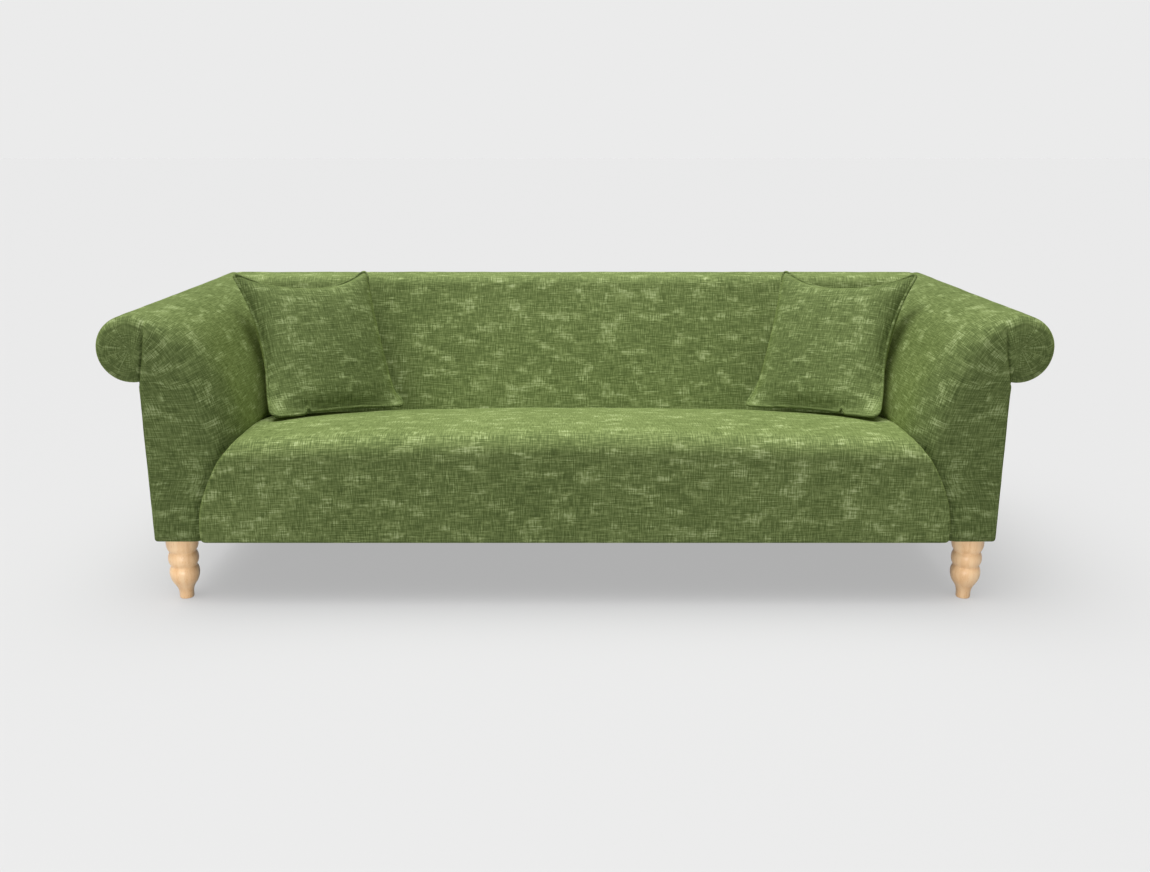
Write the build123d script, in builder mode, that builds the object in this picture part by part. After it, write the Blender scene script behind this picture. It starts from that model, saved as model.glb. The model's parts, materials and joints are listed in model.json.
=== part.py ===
from build123d import *
import os
from math import atan, cos, degrees, radians, sin, sqrt, tan

# Roll-arm four-seater sofa: tight bench seat, tight back, two scatter cushions, turned legs.
# +X runs along the seat, +Y to the back, +Z up. The origin is on the floor under the middle.

# Overall sizes
overall_width = 2300.0  # over the two scrolls
overall_depth = 1000.0  # seat front to the back of the scroll
overall_height = 740.0  # top of arms and back
leg_height = 171.0  # floor to the underside of the body
arm_setback = 13.0  # the arms' fronts stand this far behind the seat front

# Scrolls, arms and back
roll_radius = 77.0
roll_overhang = 93.0  # scroll past the flat outside panels
arm_crown_radius = 175.0
arm_crown_turn = 61.0  # degrees that the arm's top turns before the long inside face
arm_face_radius = 646.0
arm_front_round = 35.0
arm_outer_round = 10.0
arm_base_width = 115.0  # arm between outside panel and seat, at the foot
back_top_flat = 90.0
back_top_round = 38.0
back_lean = 22.0  # degrees

# Seat
seat_front_height = 449.0
seat_rear_height = 358.0
seat_nose = 50.0
seat_crown_radius = 18600.0  # crown across the seat
seat_side_radius = 374.0
seat_side_rise = 9.5  # centre of the side curve above the underside
seat_side_round = 20.0

# Layers
cover = 3.0  # cloth with its wadding
foam = 29.5  # over arms and back
liner = 2.8  # fibreboard under the arm foam
front_foam = 12.0  # foam on the arms' front boards
clear = 0.3  # between layers
tuck = 132.5  # covers tuck in this far above the underside, inside the body
hem = 6.0  # cover left under the scroll above the outside panels
wrap = 17.0  # arm cover round the outer front corner

# Timber
board = 18.0  # plywood boards and ribs
front_rail_thick = 35.0
rail_thick = 32.0
rail_high = 120.0
block = 100.0
block_high = 60.0
stretcher_wide = 45.0
stretcher_x = 350.0
post = 50.0
top_rail_high = 34.0
top_rail_drop = 92.0  # below the top of arms and back
top_rail_out = 30.0  # into the scroll
tack_rail = 35.0
arm_tack_drop = 300.0  # below the top of the arms
arm_tack_in = 145.0
back_tack_rise = 201.0
back_tack_high = 38.0
rib_end = 253.7  # end ribs, in from the frame's side
rib_count = 5
rear_board_ahead = 218.0  # ahead of the scroll's middle

# Springing
spring_rail_ahead = 263.0  # ahead of the scroll's middle
wire_radius = 2.0
spring_count = 8
spring_bends = 9
spring_run = 16.0  # half the straight part of each turn
spring_pitch = 200.0
clip_wide = 16.0
clip_thick = 1.0
tie_radius = 1.5
tie_count = 2
insulator = 3.0
web_wide = 62.0
web_thick = 2.8
web_count = 11
web_pitch = 150.0
dust_thick = 1.2

# Legs
leg_top = 40.0  # radii of the turned leg
leg_groove = 32.5
leg_ring = 38.0
leg_bulb = 37.5
leg_foot = 18.0
leg_in = 48.0  # axis from the outside panel
leg_front_in = 50.0
leg_rear_in = 50.0
bolt_radius = 4.0
bolt_down = 50.0
bolt_up = 32.0
insert_radius = 8.0
fit = 0.15

# Scatter cushions, the left one; the right one is its mirror image
cushion_half = 211.0
cushion_draw = 32.0  # edges drawn in between the corners
cushion_corner = 10.0
cushion_rise = 70.0  # crown of each side over the seam
cushion_cloth = 2.0
piping_radius = 4.0
cushion_in = 329.0  # its middle, in from the outside panel
cushion_ahead = 421.0  # its middle, ahead of the scroll's middle
cushion_over = 229.2  # its middle, over the seat's rear edge
cushion_yaw = 41.8
cushion_tilt = 28.0
cushion_roll = -4.3

# Board screws
screw_radius = 2.4
screw_head = 4.5
screw_long = 40.0
screw_rise = 58.0
screw_step = 38.0

os.makedirs("parts", exist_ok=True)

half_width = overall_width / 2
half_depth = overall_depth / 2
roll_x = half_width - roll_radius
roll_y = half_depth - roll_radius
roll_z = overall_height - roll_radius
outer_x = half_width - roll_overhang
outer_y = half_depth - roll_overhang
arm_front = arm_setback - half_depth
base = leg_height
rail_top = base + rail_high
tuck_z = base + tuck
board_front = arm_front + cover + clear + front_foam
board_back = board_front + board
frame_x = outer_x - cover - clear
frame_y = outer_y - cover - clear
front_rail_back = board_back + front_rail_thick
back_rail_front = frame_y - rail_thick
core = cover + foam + liner + 3 * clear
lean = radians(back_lean)
turn = radians(arm_crown_turn)
crown_z = overall_height - arm_crown_radius
face_x = roll_x + (arm_face_radius - arm_crown_radius) * sin(turn)
face_z = crown_z - (arm_face_radius - arm_crown_radius) * cos(turn)
top_rail_z = overall_height - top_rail_drop
rear_board_y = roll_y - rear_board_ahead
spring_rail_y = roll_y - spring_rail_ahead
rib_pitch = 2 * (frame_x - rib_end) / (rib_count - 1)
seat_half = outer_x - arm_base_width


def arm_outline(y, pad, side, floor):
    """Cross-section of the right arm at y, drawn in by pad on the padded side and side outside."""
    r, crown, face = roll_radius - pad, arm_crown_radius - pad, arm_face_radius - pad
    x_out = outer_x - side
    crease = roll_z - sqrt(r**2 - (roll_x - x_out) ** 2)
    low = radians(-40)
    x_in = face_x - sqrt(face**2 - (floor - face_z) ** 2)
    shoulder = (roll_x - crown * sin(turn), crown_z + crown * cos(turn))
    half_turn = turn / 2
    mid_z = (shoulder[1] + floor) / 2
    with BuildSketch(Plane.XZ.offset(-y)) as outline:
        with BuildLine():
            Line((x_out, floor), (x_out, crease))
            ThreePointArc(
                (x_out, crease),
                (roll_x + r * cos(low), roll_z + r * sin(low)),
                (roll_x + r, roll_z),
            )
            ThreePointArc(
                (roll_x + r, roll_z),
                (roll_x + r * cos(-low), roll_z + r * sin(-low)),
                (roll_x, roll_z + r),
            )
            ThreePointArc(
                (roll_x, roll_z + r),
                (roll_x - crown * sin(half_turn), crown_z + crown * cos(half_turn)),
                shoulder,
            )
            ThreePointArc(
                shoulder,
                (face_x - sqrt(face**2 - (mid_z - face_z) ** 2), mid_z),
                (x_in, floor),
            )
            Line((x_in, floor), (x_out, floor))
        make_face()
    return outline.sketch


def arm_body(pad, side, front):
    """The right arm as one solid with a rounded front, up to the mitre at the back corner."""
    rounding = arm_front_round - pad
    steps = 4 if rounding > 4 * cover else 0
    sections = []
    for k in range(steps + 1):
        angle = radians(90 * k / steps) if steps else radians(90)
        draw = rounding * (1 - sin(angle))
        y = front + (rounding * (1 - cos(angle)) if steps else 0)
        corner = max(arm_outer_round - side, 0) if steps else 0
        ahead = max(corner - (y - front), 0)
        side_draw = corner - sqrt(corner**2 - ahead**2)
        sections.append(arm_outline(y, pad + draw, side + side_draw, base))
    sections.append(arm_outline(half_depth, pad, side, base))
    with BuildPart() as body:
        loft(sections, ruled=True)
        split(bisect_by=Plane((roll_x, roll_y, 0), z_dir=(1, -1, 0)), keep=Keep.TOP)
    return body.part


def lean_y(z, pad):
    """Y of the back's leaning face at height z, drawn in by pad."""
    r = back_top_round - pad
    y = roll_y - back_top_flat - r * cos(lean)
    return y - (overall_height - back_top_round + r * sin(lean) - z) * tan(lean)


def back_outline(x, pad, side, floor):
    """Cross-section of the back at x."""
    r, top = roll_radius - pad, back_top_round - pad
    y_out = outer_y - side
    crease = roll_z - sqrt(r**2 - (roll_y - y_out) ** 2)
    low = radians(-40)
    top_y, top_z = roll_y - back_top_flat, overall_height - back_top_round
    mid = (radians(90) + lean) / 2
    start = (top_y - top * cos(lean), top_z + top * sin(lean))
    with BuildSketch(Plane.YZ.offset(x)) as outline:
        with BuildLine():
            Line((y_out, floor), (y_out, crease))
            ThreePointArc(
                (y_out, crease),
                (roll_y + r * cos(low), roll_z + r * sin(low)),
                (roll_y + r, roll_z),
            )
            ThreePointArc(
                (roll_y + r, roll_z),
                (roll_y + r * cos(-low), roll_z + r * sin(-low)),
                (roll_y, roll_z + r),
            )
            Line((roll_y, roll_z + r), (top_y, top_z + top))
            ThreePointArc(
                (top_y, top_z + top), (top_y - top * cos(mid), top_z + top * sin(mid)), start
            )
            Line(start, (lean_y(floor, pad), floor))
            Line((lean_y(floor, pad), floor), (y_out, floor))
        make_face()
    return outline.sketch


def back_body(pad, side, floor):
    """The back as one solid over the whole width, before its ends are cut."""
    with BuildPart() as body:
        extrude(back_outline(-half_width, pad, side, floor), amount=overall_width)
    return body.part


def seat_body(pad, rear, floor):
    """The seat: a domed side profile turned through a shallow crown, within rounded sides."""
    front = -half_depth
    nose_y, nose_z = front + seat_nose, seat_front_height - seat_nose
    end_y = lean_y(seat_rear_height, 0)
    drop, run = seat_front_height - seat_rear_height, end_y - nose_y
    radius = (run**2 + drop**2) / (2 * drop) - pad
    dome_z = seat_front_height - pad - radius
    axis_z = seat_front_height - seat_crown_radius
    swing = 1.2 * seat_half / seat_crown_radius
    low = base - seat_nose - axis_z
    nose = seat_nose - pad
    mid_y, far_y = (nose_y + roll_y) / 2, roll_y
    mid_z = dome_z + sqrt(radius**2 - (mid_y - nose_y) ** 2) - axis_z
    far_z = dome_z + sqrt(radius**2 - (far_y - nose_y) ** 2) - axis_z
    rounding, steps = seat_side_round - pad, 3
    sections = [seat_arch(front - seat_nose, pad + rounding, floor)]
    for k in range(steps + 1):
        angle = radians(90 * k / steps)
        y = front + pad + rounding * (1 - cos(angle))
        sections.append(seat_arch(y, pad + rounding * (1 - sin(angle)), floor))
    sections.append(seat_arch(roll_y + seat_nose, pad, floor))
    with BuildPart() as body:
        plane = Plane((0, 0, axis_z), x_dir=(0, 1, 0), z_dir=(cos(swing), 0, sin(swing)))
        with BuildSketch(plane):
            with BuildLine():
                Line((front + pad, low), (front + pad, nose_z - axis_z))
                ThreePointArc(
                    (front + pad, nose_z - axis_z),
                    (nose_y - nose * sqrt(0.5), nose_z + nose * sqrt(0.5) - axis_z),
                    (nose_y, nose_z + nose - axis_z),
                )
                ThreePointArc((nose_y, nose_z + nose - axis_z), (mid_y, mid_z), (far_y, far_z))
                Polyline((far_y, far_z), (far_y, low), (front + pad, low))
            make_face()
        revolve(axis=Axis((0, 0, axis_z), (0, 1, 0)), revolution_arc=degrees(2 * swing))
        behind = Plane(
            (0, lean_y(base, rear), base), x_dir=(1, 0, 0), z_dir=(0, -cos(lean), sin(lean))
        )
        split(bisect_by=behind, keep=Keep.TOP)
        loft(sections, ruled=True, mode=Mode.INTERSECT)
    return body.part


def seat_arch(y, pad, floor):
    """Front view of the seat at y: curved sides that close in towards the top."""
    r = seat_side_radius - pad
    cx, cz = seat_half - seat_side_radius, base + seat_side_rise
    top = seat_front_height + seat_nose
    mid = (base + top) / 2
    low_x, mid_x, top_x = (cx + sqrt(r**2 - (z - cz) ** 2) for z in (floor, mid, top))
    with BuildSketch(Plane.XZ.offset(-y)) as outline:
        with BuildLine():
            Line((-low_x, floor), (low_x, floor))
            ThreePointArc((low_x, floor), (mid_x, mid), (top_x, top))
            Line((top_x, top), (-top_x, top))
            ThreePointArc((-top_x, top), (-mid_x, mid), (-low_x, floor))
        make_face()
    return outline.sketch


def box(x0, x1, y0, y1, z0, z1):
    """A plain block between two corners, for cuts and joinery."""
    with BuildPart(mode=Mode.PRIVATE) as solid:
        with BuildSketch(Plane.XY.offset(z0)):
            with Locations(((x0 + x1) / 2, (y0 + y1) / 2)):
                Rectangle(x1 - x0, y1 - y0)
        extrude(amount=z1 - z0)
    return solid.part


# Forms that several pieces share
seat_space = seat_body(-clear, 0, base - cover)
arm_space = arm_body(-clear, -clear, arm_front - clear)
arm_space_left = mirror(arm_space, about=Plane.YZ)
arm_fill = arm_body(cover + clear, cover + clear, arm_front + cover + clear)
arm_bed = arm_body(cover + clear + foam, cover + clear, board_front)
mitre = Plane((roll_x, roll_y, 0), z_dir=(1, -1, 0)).offset(clear)
inner_cut = box(seat_half / 2, frame_x - rail_thick, board_back, half_depth, 0, tuck_z)
with BuildPart() as back_region:
    with BuildSketch():
        with BuildLine():
            Polyline(
                (-half_width - roll_overhang, half_depth + roll_overhang),
                (-outer_x, outer_y),
                (-outer_x, -half_depth),
                (outer_x, -half_depth),
                (outer_x, outer_y),
                (half_width + roll_overhang, half_depth + roll_overhang),
                close=True,
            )
        make_face()
    extrude(amount=overall_height + roll_overhang)

# Base frame
leg_x = outer_x - leg_in
leg_front_y = arm_front + leg_front_in
leg_rear_y = outer_y - leg_rear_in
screw_x = frame_x - rail_thick - screw_head

with BuildPart() as front_seat_rail:
    add(box(-frame_x, frame_x, board_back, front_rail_back, base, rail_top))
    with BuildSketch(Plane.XY.offset(base)):
        with Locations((-leg_x, leg_front_y), (leg_x, leg_front_y)):
            Circle(insert_radius + fit)
    extrude(amount=bolt_up + fit, mode=Mode.SUBTRACT)
    with BuildSketch(Plane.XZ.offset(-board_back)):
        for s in (-1, 1):
            for k in range(2):
                with Locations((s * screw_x, base + screw_rise + k * screw_step)):
                    Circle(screw_radius + fit)
    extrude(amount=-(screw_long - board + fit), mode=Mode.SUBTRACT)
front_seat_rail.part.label = "front_seat_rail"
export_step(front_seat_rail.part, "parts/front_seat_rail.step")

with BuildPart() as back_seat_rail:
    add(box(-frame_x, frame_x, back_rail_front, frame_y, base, rail_top))
back_seat_rail.part.label = "back_seat_rail"
export_step(back_seat_rail.part, "parts/back_seat_rail.step")

with BuildPart() as right_side_rail:
    add(box(frame_x - rail_thick, frame_x, front_rail_back, back_rail_front, base, rail_top))
right_side_rail.part.label = "right_side_rail"
export_step(right_side_rail.part, "parts/right_side_rail.step")

with BuildPart() as left_side_rail:
    mirror(right_side_rail.part, about=Plane.YZ)
left_side_rail.part.label = "left_side_rail"
export_step(left_side_rail.part, "parts/left_side_rail.step")

with BuildPart() as spring_rail:
    side_in = frame_x - rail_thick
    add(
        box(-side_in, side_in, spring_rail_y, spring_rail_y + front_rail_thick, base + block_high, rail_top)
    )
spring_rail.part.label = "spring_rail"
export_step(spring_rail.part, "parts/spring_rail.step")

with BuildPart() as seat_stretchers:
    with BuildSketch(Plane.XY.offset(base)):
        with Locations(
            (-stretcher_x, (front_rail_back + back_rail_front) / 2),
            (stretcher_x, (front_rail_back + back_rail_front) / 2),
        ):
            Rectangle(stretcher_wide, back_rail_front - front_rail_back)
    extrude(amount=block_high)
seat_stretchers.part.label = "seat_stretchers"
export_step(seat_stretchers.part, "parts/seat_stretchers.step")

with BuildPart() as corner_blocks:
    with BuildSketch(Plane.XY.offset(base)):
        for sx in (-1, 1):
            for y, sy in ((front_rail_back, 1), (back_rail_front, -1)):
                x = sx * (frame_x - rail_thick)
                with BuildLine():
                    Polyline((x, y), (x - sx * block, y), (x, y + sy * block), close=True)
                make_face()
    extrude(amount=block_high)
    with BuildSketch(Plane.XY.offset(base)):
        with Locations((-leg_x, leg_rear_y), (leg_x, leg_rear_y)):
            Circle(insert_radius + fit)
    extrude(amount=bolt_up + fit, mode=Mode.SUBTRACT)
corner_blocks.part.label = "corner_blocks"
export_step(corner_blocks.part, "parts/corner_blocks.step")

# Arm frames
with BuildPart() as right_arm_front_board:
    extrude(arm_outline(board_front, core, cover + clear, base), amount=-board)
    seat_end = seat_arch(board_front - clear, -clear, base - cover)
    extrude(seat_end, amount=-(board + 2 * clear), mode=Mode.SUBTRACT)
    for k in range(2):
        with BuildSketch(Plane.XZ.offset(-board_front)):
            with Locations((screw_x, base + screw_rise + k * screw_step)):
                Circle(screw_radius + fit)
        extrude(amount=-board, mode=Mode.SUBTRACT)
        with BuildSketch(Plane.XZ.offset(-board_front)):
            with Locations((screw_x, base + screw_rise + k * screw_step)):
                Circle(screw_head + fit)
        extrude(amount=-(cover + fit), mode=Mode.SUBTRACT)
right_arm_front_board.part.label = "right_arm_front_board"
export_step(right_arm_front_board.part, "parts/right_arm_front_board.step")

with BuildPart() as left_arm_front_board:
    mirror(right_arm_front_board.part, about=Plane.YZ)
left_arm_front_board.part.label = "left_arm_front_board"
export_step(left_arm_front_board.part, "parts/left_arm_front_board.step")

with BuildPart() as arm_board_screws:
    for s in (-1, 1):
        for k in range(2):
            with BuildSketch(Plane.XZ.offset(-board_front)):
                with Locations((s * screw_x, base + screw_rise + k * screw_step)):
                    Circle(screw_head)
            extrude(amount=-cover)
            with BuildSketch(Plane.XZ.offset(-board_front)):
                with Locations((s * screw_x, base + screw_rise + k * screw_step)):
                    Circle(screw_radius)
            extrude(amount=-screw_long)
arm_board_screws.part.label = "arm_board_screws"
export_step(arm_board_screws.part, "parts/arm_board_screws.step")

with BuildPart() as right_arm_top_rail:
    add(
        box(
            frame_x - post,
            roll_x + top_rail_out,
            board_back,
            frame_y - post,
            top_rail_z,
            top_rail_z + top_rail_high,
        )
    )
right_arm_top_rail.part.label = "right_arm_top_rail"
export_step(right_arm_top_rail.part, "parts/right_arm_top_rail.step")

with BuildPart() as left_arm_top_rail:
    mirror(right_arm_top_rail.part, about=Plane.YZ)
left_arm_top_rail.part.label = "left_arm_top_rail"
export_step(left_arm_top_rail.part, "parts/left_arm_top_rail.step")

with BuildPart() as right_arm_rear_board:
    extrude(arm_outline(rear_board_y, core, cover + clear, rail_top), amount=-board)
    add(
        box(
            frame_x - post,
            half_width,
            rear_board_y,
            rear_board_y + board,
            top_rail_z,
            overall_height,
        ),
        mode=Mode.SUBTRACT,
    )
    add(
        box(frame_x, half_width, rear_board_y, rear_board_y + board, rail_top, overall_height),
        mode=Mode.SUBTRACT,
    )
right_arm_rear_board.part.label = "right_arm_rear_board"
export_step(right_arm_rear_board.part, "parts/right_arm_rear_board.step")

with BuildPart() as left_arm_rear_board:
    mirror(right_arm_rear_board.part, about=Plane.YZ)
left_arm_rear_board.part.label = "left_arm_rear_board"
export_step(left_arm_rear_board.part, "parts/left_arm_rear_board.step")

with BuildPart() as right_arm_tack_rail:
    tack_x = roll_x - arm_tack_in
    tack_z = overall_height - arm_tack_drop
    add(box(tack_x - tack_rail, tack_x, board_back, rear_board_y, tack_z, tack_z + tack_rail))
right_arm_tack_rail.part.label = "right_arm_tack_rail"
export_step(right_arm_tack_rail.part, "parts/right_arm_tack_rail.step")

with BuildPart() as left_arm_tack_rail:
    mirror(right_arm_tack_rail.part, about=Plane.YZ)
left_arm_tack_rail.part.label = "left_arm_tack_rail"
export_step(left_arm_tack_rail.part, "parts/left_arm_tack_rail.step")

with BuildPart() as right_corner_post:
    add(box(frame_x - post, frame_x, frame_y - post, frame_y, rail_top, top_rail_z + top_rail_high))
right_corner_post.part.label = "right_corner_post"
export_step(right_corner_post.part, "parts/right_corner_post.step")

with BuildPart() as left_corner_post:
    mirror(right_corner_post.part, about=Plane.YZ)
left_corner_post.part.label = "left_corner_post"
export_step(left_corner_post.part, "parts/left_corner_post.step")

# Back frame
top_0, top_1 = top_rail_z, top_rail_z + top_rail_high
with BuildPart() as back_top_rail:
    with BuildSketch(Plane.YZ.offset(post - frame_x)):
        with BuildLine():
            Polyline(
                (roll_y + top_rail_out, top_0),
                (roll_y + top_rail_out, top_1),
                (lean_y(top_1, core), top_1),
                (lean_y(top_0, core), top_0),
                close=True,
            )
        make_face()
    extrude(amount=2 * (frame_x - post))
    for s in (-1, 1):
        split(bisect_by=Plane((s * roll_x, roll_y, 0), z_dir=(-s, 1, 0)), keep=Keep.TOP)
back_top_rail.part.label = "back_top_rail"
export_step(back_top_rail.part, "parts/back_top_rail.step")

tack_0 = base + back_tack_rise
tack_1 = tack_0 + back_tack_high
arm_in = face_x - arm_face_radius
with BuildPart() as back_tack_rail:
    with BuildSketch(Plane.YZ.offset(-(arm_in - board))):
        with BuildLine():
            Polyline(
                (lean_y(tack_0, core) + tack_rail, tack_0),
                (lean_y(tack_0, core) + tack_rail, tack_1),
                (lean_y(tack_1, core), tack_1),
                (lean_y(tack_0, core), tack_0),
                close=True,
            )
        make_face()
    extrude(amount=2 * (arm_in - board))
back_tack_rail.part.label = "back_tack_rail"
export_step(back_tack_rail.part, "parts/back_tack_rail.step")

with BuildPart() as back_ribs:
    for k in range(rib_count):
        x = (k - (rib_count - 1) / 2) * rib_pitch - board / 2
        extrude(back_outline(x, core, cover + clear, rail_top), amount=board)
    add(back_top_rail.part, mode=Mode.SUBTRACT)
    add(back_tack_rail.part, mode=Mode.SUBTRACT)
back_ribs.part.label = "back_ribs"
export_step(back_ribs.part, "parts/back_ribs.step")

with BuildPart() as back_webbing:
    web_0, web_1 = tack_0, top_1
    web_mid = (web_0 + web_1) / 2
    web_pad = cover + clear + foam + clear + web_thick
    web_plane = Plane(
        (0, lean_y(web_mid, web_pad), web_mid), x_dir=(1, 0, 0), z_dir=(0, -cos(lean), sin(lean))
    )
    with BuildSketch(web_plane):
        with GridLocations(web_pitch, 1, web_count, 1):
            Rectangle(web_wide, (web_1 - web_0) / cos(lean))
    extrude(amount=web_thick)
back_webbing.part.label = "back_webbing"
export_step(back_webbing.part, "parts/back_webbing.step")

# Seat springing
wire_z = rail_top + clip_thick + fit + wire_radius
wire_front = (board_back + front_rail_back) / 2
wire_back = spring_rail_y + front_rail_thick / 2
bend = (wire_back - wire_front) / (2 * spring_bends)
print("least gap between turns of a seat spring, mm:", round(2 * bend - 2 * wire_radius, 2))
with BuildPart() as seat_springs:
    for k in range(spring_count):
        x = (k - (spring_count - 1) / 2) * spring_pitch
        with BuildLine(Plane.XY.offset(wire_z)) as wire:
            for j in range(spring_bends + 1):
                y = wire_front + 2 * bend * j
                s = 1 if j % 2 == 0 else -1
                Line((x - s * spring_run, y), (x + s * spring_run, y))
                if j < spring_bends:
                    ThreePointArc(
                        (x + s * spring_run, y),
                        (x + s * (spring_run + bend), y + bend),
                        (x + s * spring_run, y + 2 * bend),
                    )
        with BuildSketch(Plane((x - spring_run, wire_front, wire_z), z_dir=(1, 0, 0))):
            Circle(wire_radius)
        sweep(path=wire.wires()[0])
seat_springs.part.label = "seat_springs"
export_step(seat_springs.part, "parts/seat_springs.step")

clip_top = wire_z + wire_radius + fit
with BuildPart() as spring_clips:
    for k in range(spring_count):
        x = (k - (spring_count - 1) / 2) * spring_pitch
        for y, s in ((wire_front, -1), (wire_back, 1)):
            heel = y + s * (wire_radius + fit)
            tip = y - s * 3 * wire_radius
            with BuildSketch(Plane.YZ.offset(x - clip_wide / 2)):
                with BuildLine():
                    Polyline(
                        (tip, rail_top),
                        (heel + s * clip_thick, rail_top),
                        (heel + s * clip_thick, clip_top + clip_thick),
                        (tip, clip_top + clip_thick),
                        (tip, clip_top),
                        (heel, clip_top),
                        (heel, rail_top + clip_thick),
                        (tip, rail_top + clip_thick),
                        close=True,
                    )
                make_face()
            extrude(amount=clip_wide)
spring_clips.part.label = "spring_clips"
export_step(spring_clips.part, "parts/spring_clips.step")

tie_z = wire_z - wire_radius - tie_radius - fit
with BuildPart() as spring_tie_wires:
    tie_half = (spring_count - 1) / 2 * spring_pitch + spring_run + bend
    for k in range(tie_count):
        y = wire_front + 2 * bend * (2 + k * (spring_bends - 4))
        with BuildSketch(Plane.YZ.offset(-tie_half)):
            with Locations((y, tie_z)):
                Circle(tie_radius)
    extrude(amount=2 * tie_half)
spring_tie_wires.part.label = "spring_tie_wires"
export_step(spring_tie_wires.part, "parts/spring_tie_wires.step")

pad_z = clip_top + clip_thick + fit
foam_z = pad_z + insulator + clear
with BuildPart() as seat_insulator:
    add(
        box(
            -(seat_half - tack_rail),
            seat_half - tack_rail,
            board_back + clear,
            lean_y(pad_z, core) - clear,
            pad_z,
            pad_z + insulator,
        )
    )
seat_insulator.part.label = "seat_insulator"
export_step(seat_insulator.part, "parts/seat_insulator.step")

# Upholstery of the seat
seat_outer = seat_body(0, -clear, base)
seat_inner = seat_body(cover, cover, base - cover)
with BuildPart() as seat_cover:
    add(seat_outer)
    add(seat_inner, mode=Mode.SUBTRACT)
    add(
        box(-half_width, half_width, board_back - clear, half_depth, 0, foam_z + cover),
        mode=Mode.SUBTRACT,
    )
seat_cover.part.label = "seat_cover"
export_step(seat_cover.part, "parts/seat_cover.step")

with BuildPart() as seat_foam:
    add(seat_body(cover + clear, -clear, base))
    add(
        box(-half_width, half_width, board_back - clear, half_depth, 0, foam_z), mode=Mode.SUBTRACT
    )
seat_foam.part.label = "seat_foam"
export_step(seat_foam.part, "parts/seat_foam.step")

# Upholstery of the arms
panel_top = roll_z - sqrt(roll_radius**2 - (roll_x - outer_x) ** 2) - hem
with BuildPart() as right_inside_arm_cover:
    add(arm_body(0, 0, arm_front))
    add(arm_body(cover, cover, arm_front + cover), mode=Mode.SUBTRACT)
    split(bisect_by=mitre, keep=Keep.TOP)
    add(seat_space, mode=Mode.SUBTRACT)
    add(inner_cut, mode=Mode.SUBTRACT)
    add(
        box(
            outer_x - cover - clear,
            half_width,
            arm_front + wrap - clear,
            half_depth,
            0,
            panel_top + clear,
        ),
        mode=Mode.SUBTRACT,
    )
right_inside_arm_cover.part.label = "right_inside_arm_cover"
export_step(right_inside_arm_cover.part, "parts/right_inside_arm_cover.step")

with BuildPart() as left_inside_arm_cover:
    mirror(right_inside_arm_cover.part, about=Plane.YZ)
left_inside_arm_cover.part.label = "left_inside_arm_cover"
export_step(left_inside_arm_cover.part, "parts/left_inside_arm_cover.step")

with BuildPart() as right_outside_arm_cover:
    add(box(outer_x - cover, outer_x, arm_front + wrap, half_depth, base, panel_top))
    split(bisect_by=mitre, keep=Keep.TOP)
right_outside_arm_cover.part.label = "right_outside_arm_cover"
export_step(right_outside_arm_cover.part, "parts/right_outside_arm_cover.step")

with BuildPart() as left_outside_arm_cover:
    mirror(right_outside_arm_cover.part, about=Plane.YZ)
left_outside_arm_cover.part.label = "left_outside_arm_cover"
export_step(left_outside_arm_cover.part, "parts/left_outside_arm_cover.step")

with BuildPart() as right_arm_foam:
    add(arm_fill)
    add(arm_bed, mode=Mode.SUBTRACT)
    split(bisect_by=mitre, keep=Keep.TOP)
    add(seat_space, mode=Mode.SUBTRACT)
    add(inner_cut, mode=Mode.SUBTRACT)
right_arm_foam.part.label = "right_arm_foam"
export_step(right_arm_foam.part, "parts/right_arm_foam.step")

with BuildPart() as left_arm_foam:
    mirror(right_arm_foam.part, about=Plane.YZ)
left_arm_foam.part.label = "left_arm_foam"
export_step(left_arm_foam.part, "parts/left_arm_foam.step")

with BuildPart() as right_arm_liner:
    liner_out = cover + foam + 2 * clear
    add(arm_body(liner_out, cover + clear, board_front + clear))
    add(arm_body(liner_out + liner, cover + clear, board_front), mode=Mode.SUBTRACT)
    split(bisect_by=mitre, keep=Keep.TOP)
    seat_end = seat_arch(arm_front, -clear, base - cover)
    extrude(seat_end, amount=-overall_depth, mode=Mode.SUBTRACT)
    add(inner_cut, mode=Mode.SUBTRACT)
right_arm_liner.part.label = "right_arm_liner"
export_step(right_arm_liner.part, "parts/right_arm_liner.step")

with BuildPart() as left_arm_liner:
    mirror(right_arm_liner.part, about=Plane.YZ)
left_arm_liner.part.label = "left_arm_liner"
export_step(left_arm_liner.part, "parts/left_arm_liner.step")

# Upholstery of the back
with BuildPart() as inside_back_cover:
    add(back_body(0, 0, tuck_z))
    add(back_body(cover, cover, tuck_z), mode=Mode.SUBTRACT)
    add(back_region.part, mode=Mode.INTERSECT)
    add(arm_space, mode=Mode.SUBTRACT)
    add(arm_space_left, mode=Mode.SUBTRACT)
    add(
        box(-half_width, half_width, outer_y - cover - clear, half_depth, 0, panel_top + clear),
        mode=Mode.SUBTRACT,
    )
inside_back_cover.part.label = "inside_back_cover"
export_step(inside_back_cover.part, "parts/inside_back_cover.step")

with BuildPart() as outside_back_cover:
    add(box(-half_width, half_width, outer_y - cover, outer_y, base, panel_top))
    for s in (-1, 1):
        split(bisect_by=Plane((s * roll_x, roll_y, 0), z_dir=(-s, 1, 0)), keep=Keep.TOP)
outside_back_cover.part.label = "outside_back_cover"
export_step(outside_back_cover.part, "parts/outside_back_cover.step")

with BuildPart() as back_foam:
    add(back_body(cover + clear, cover + clear, tuck_z))
    add(back_body(cover + clear + foam, cover + clear, tuck_z), mode=Mode.SUBTRACT)
    add(back_region.part, mode=Mode.INTERSECT)
    add(arm_space, mode=Mode.SUBTRACT)
    add(arm_space_left, mode=Mode.SUBTRACT)
back_foam.part.label = "back_foam"
export_step(back_foam.part, "parts/back_foam.step")

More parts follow.
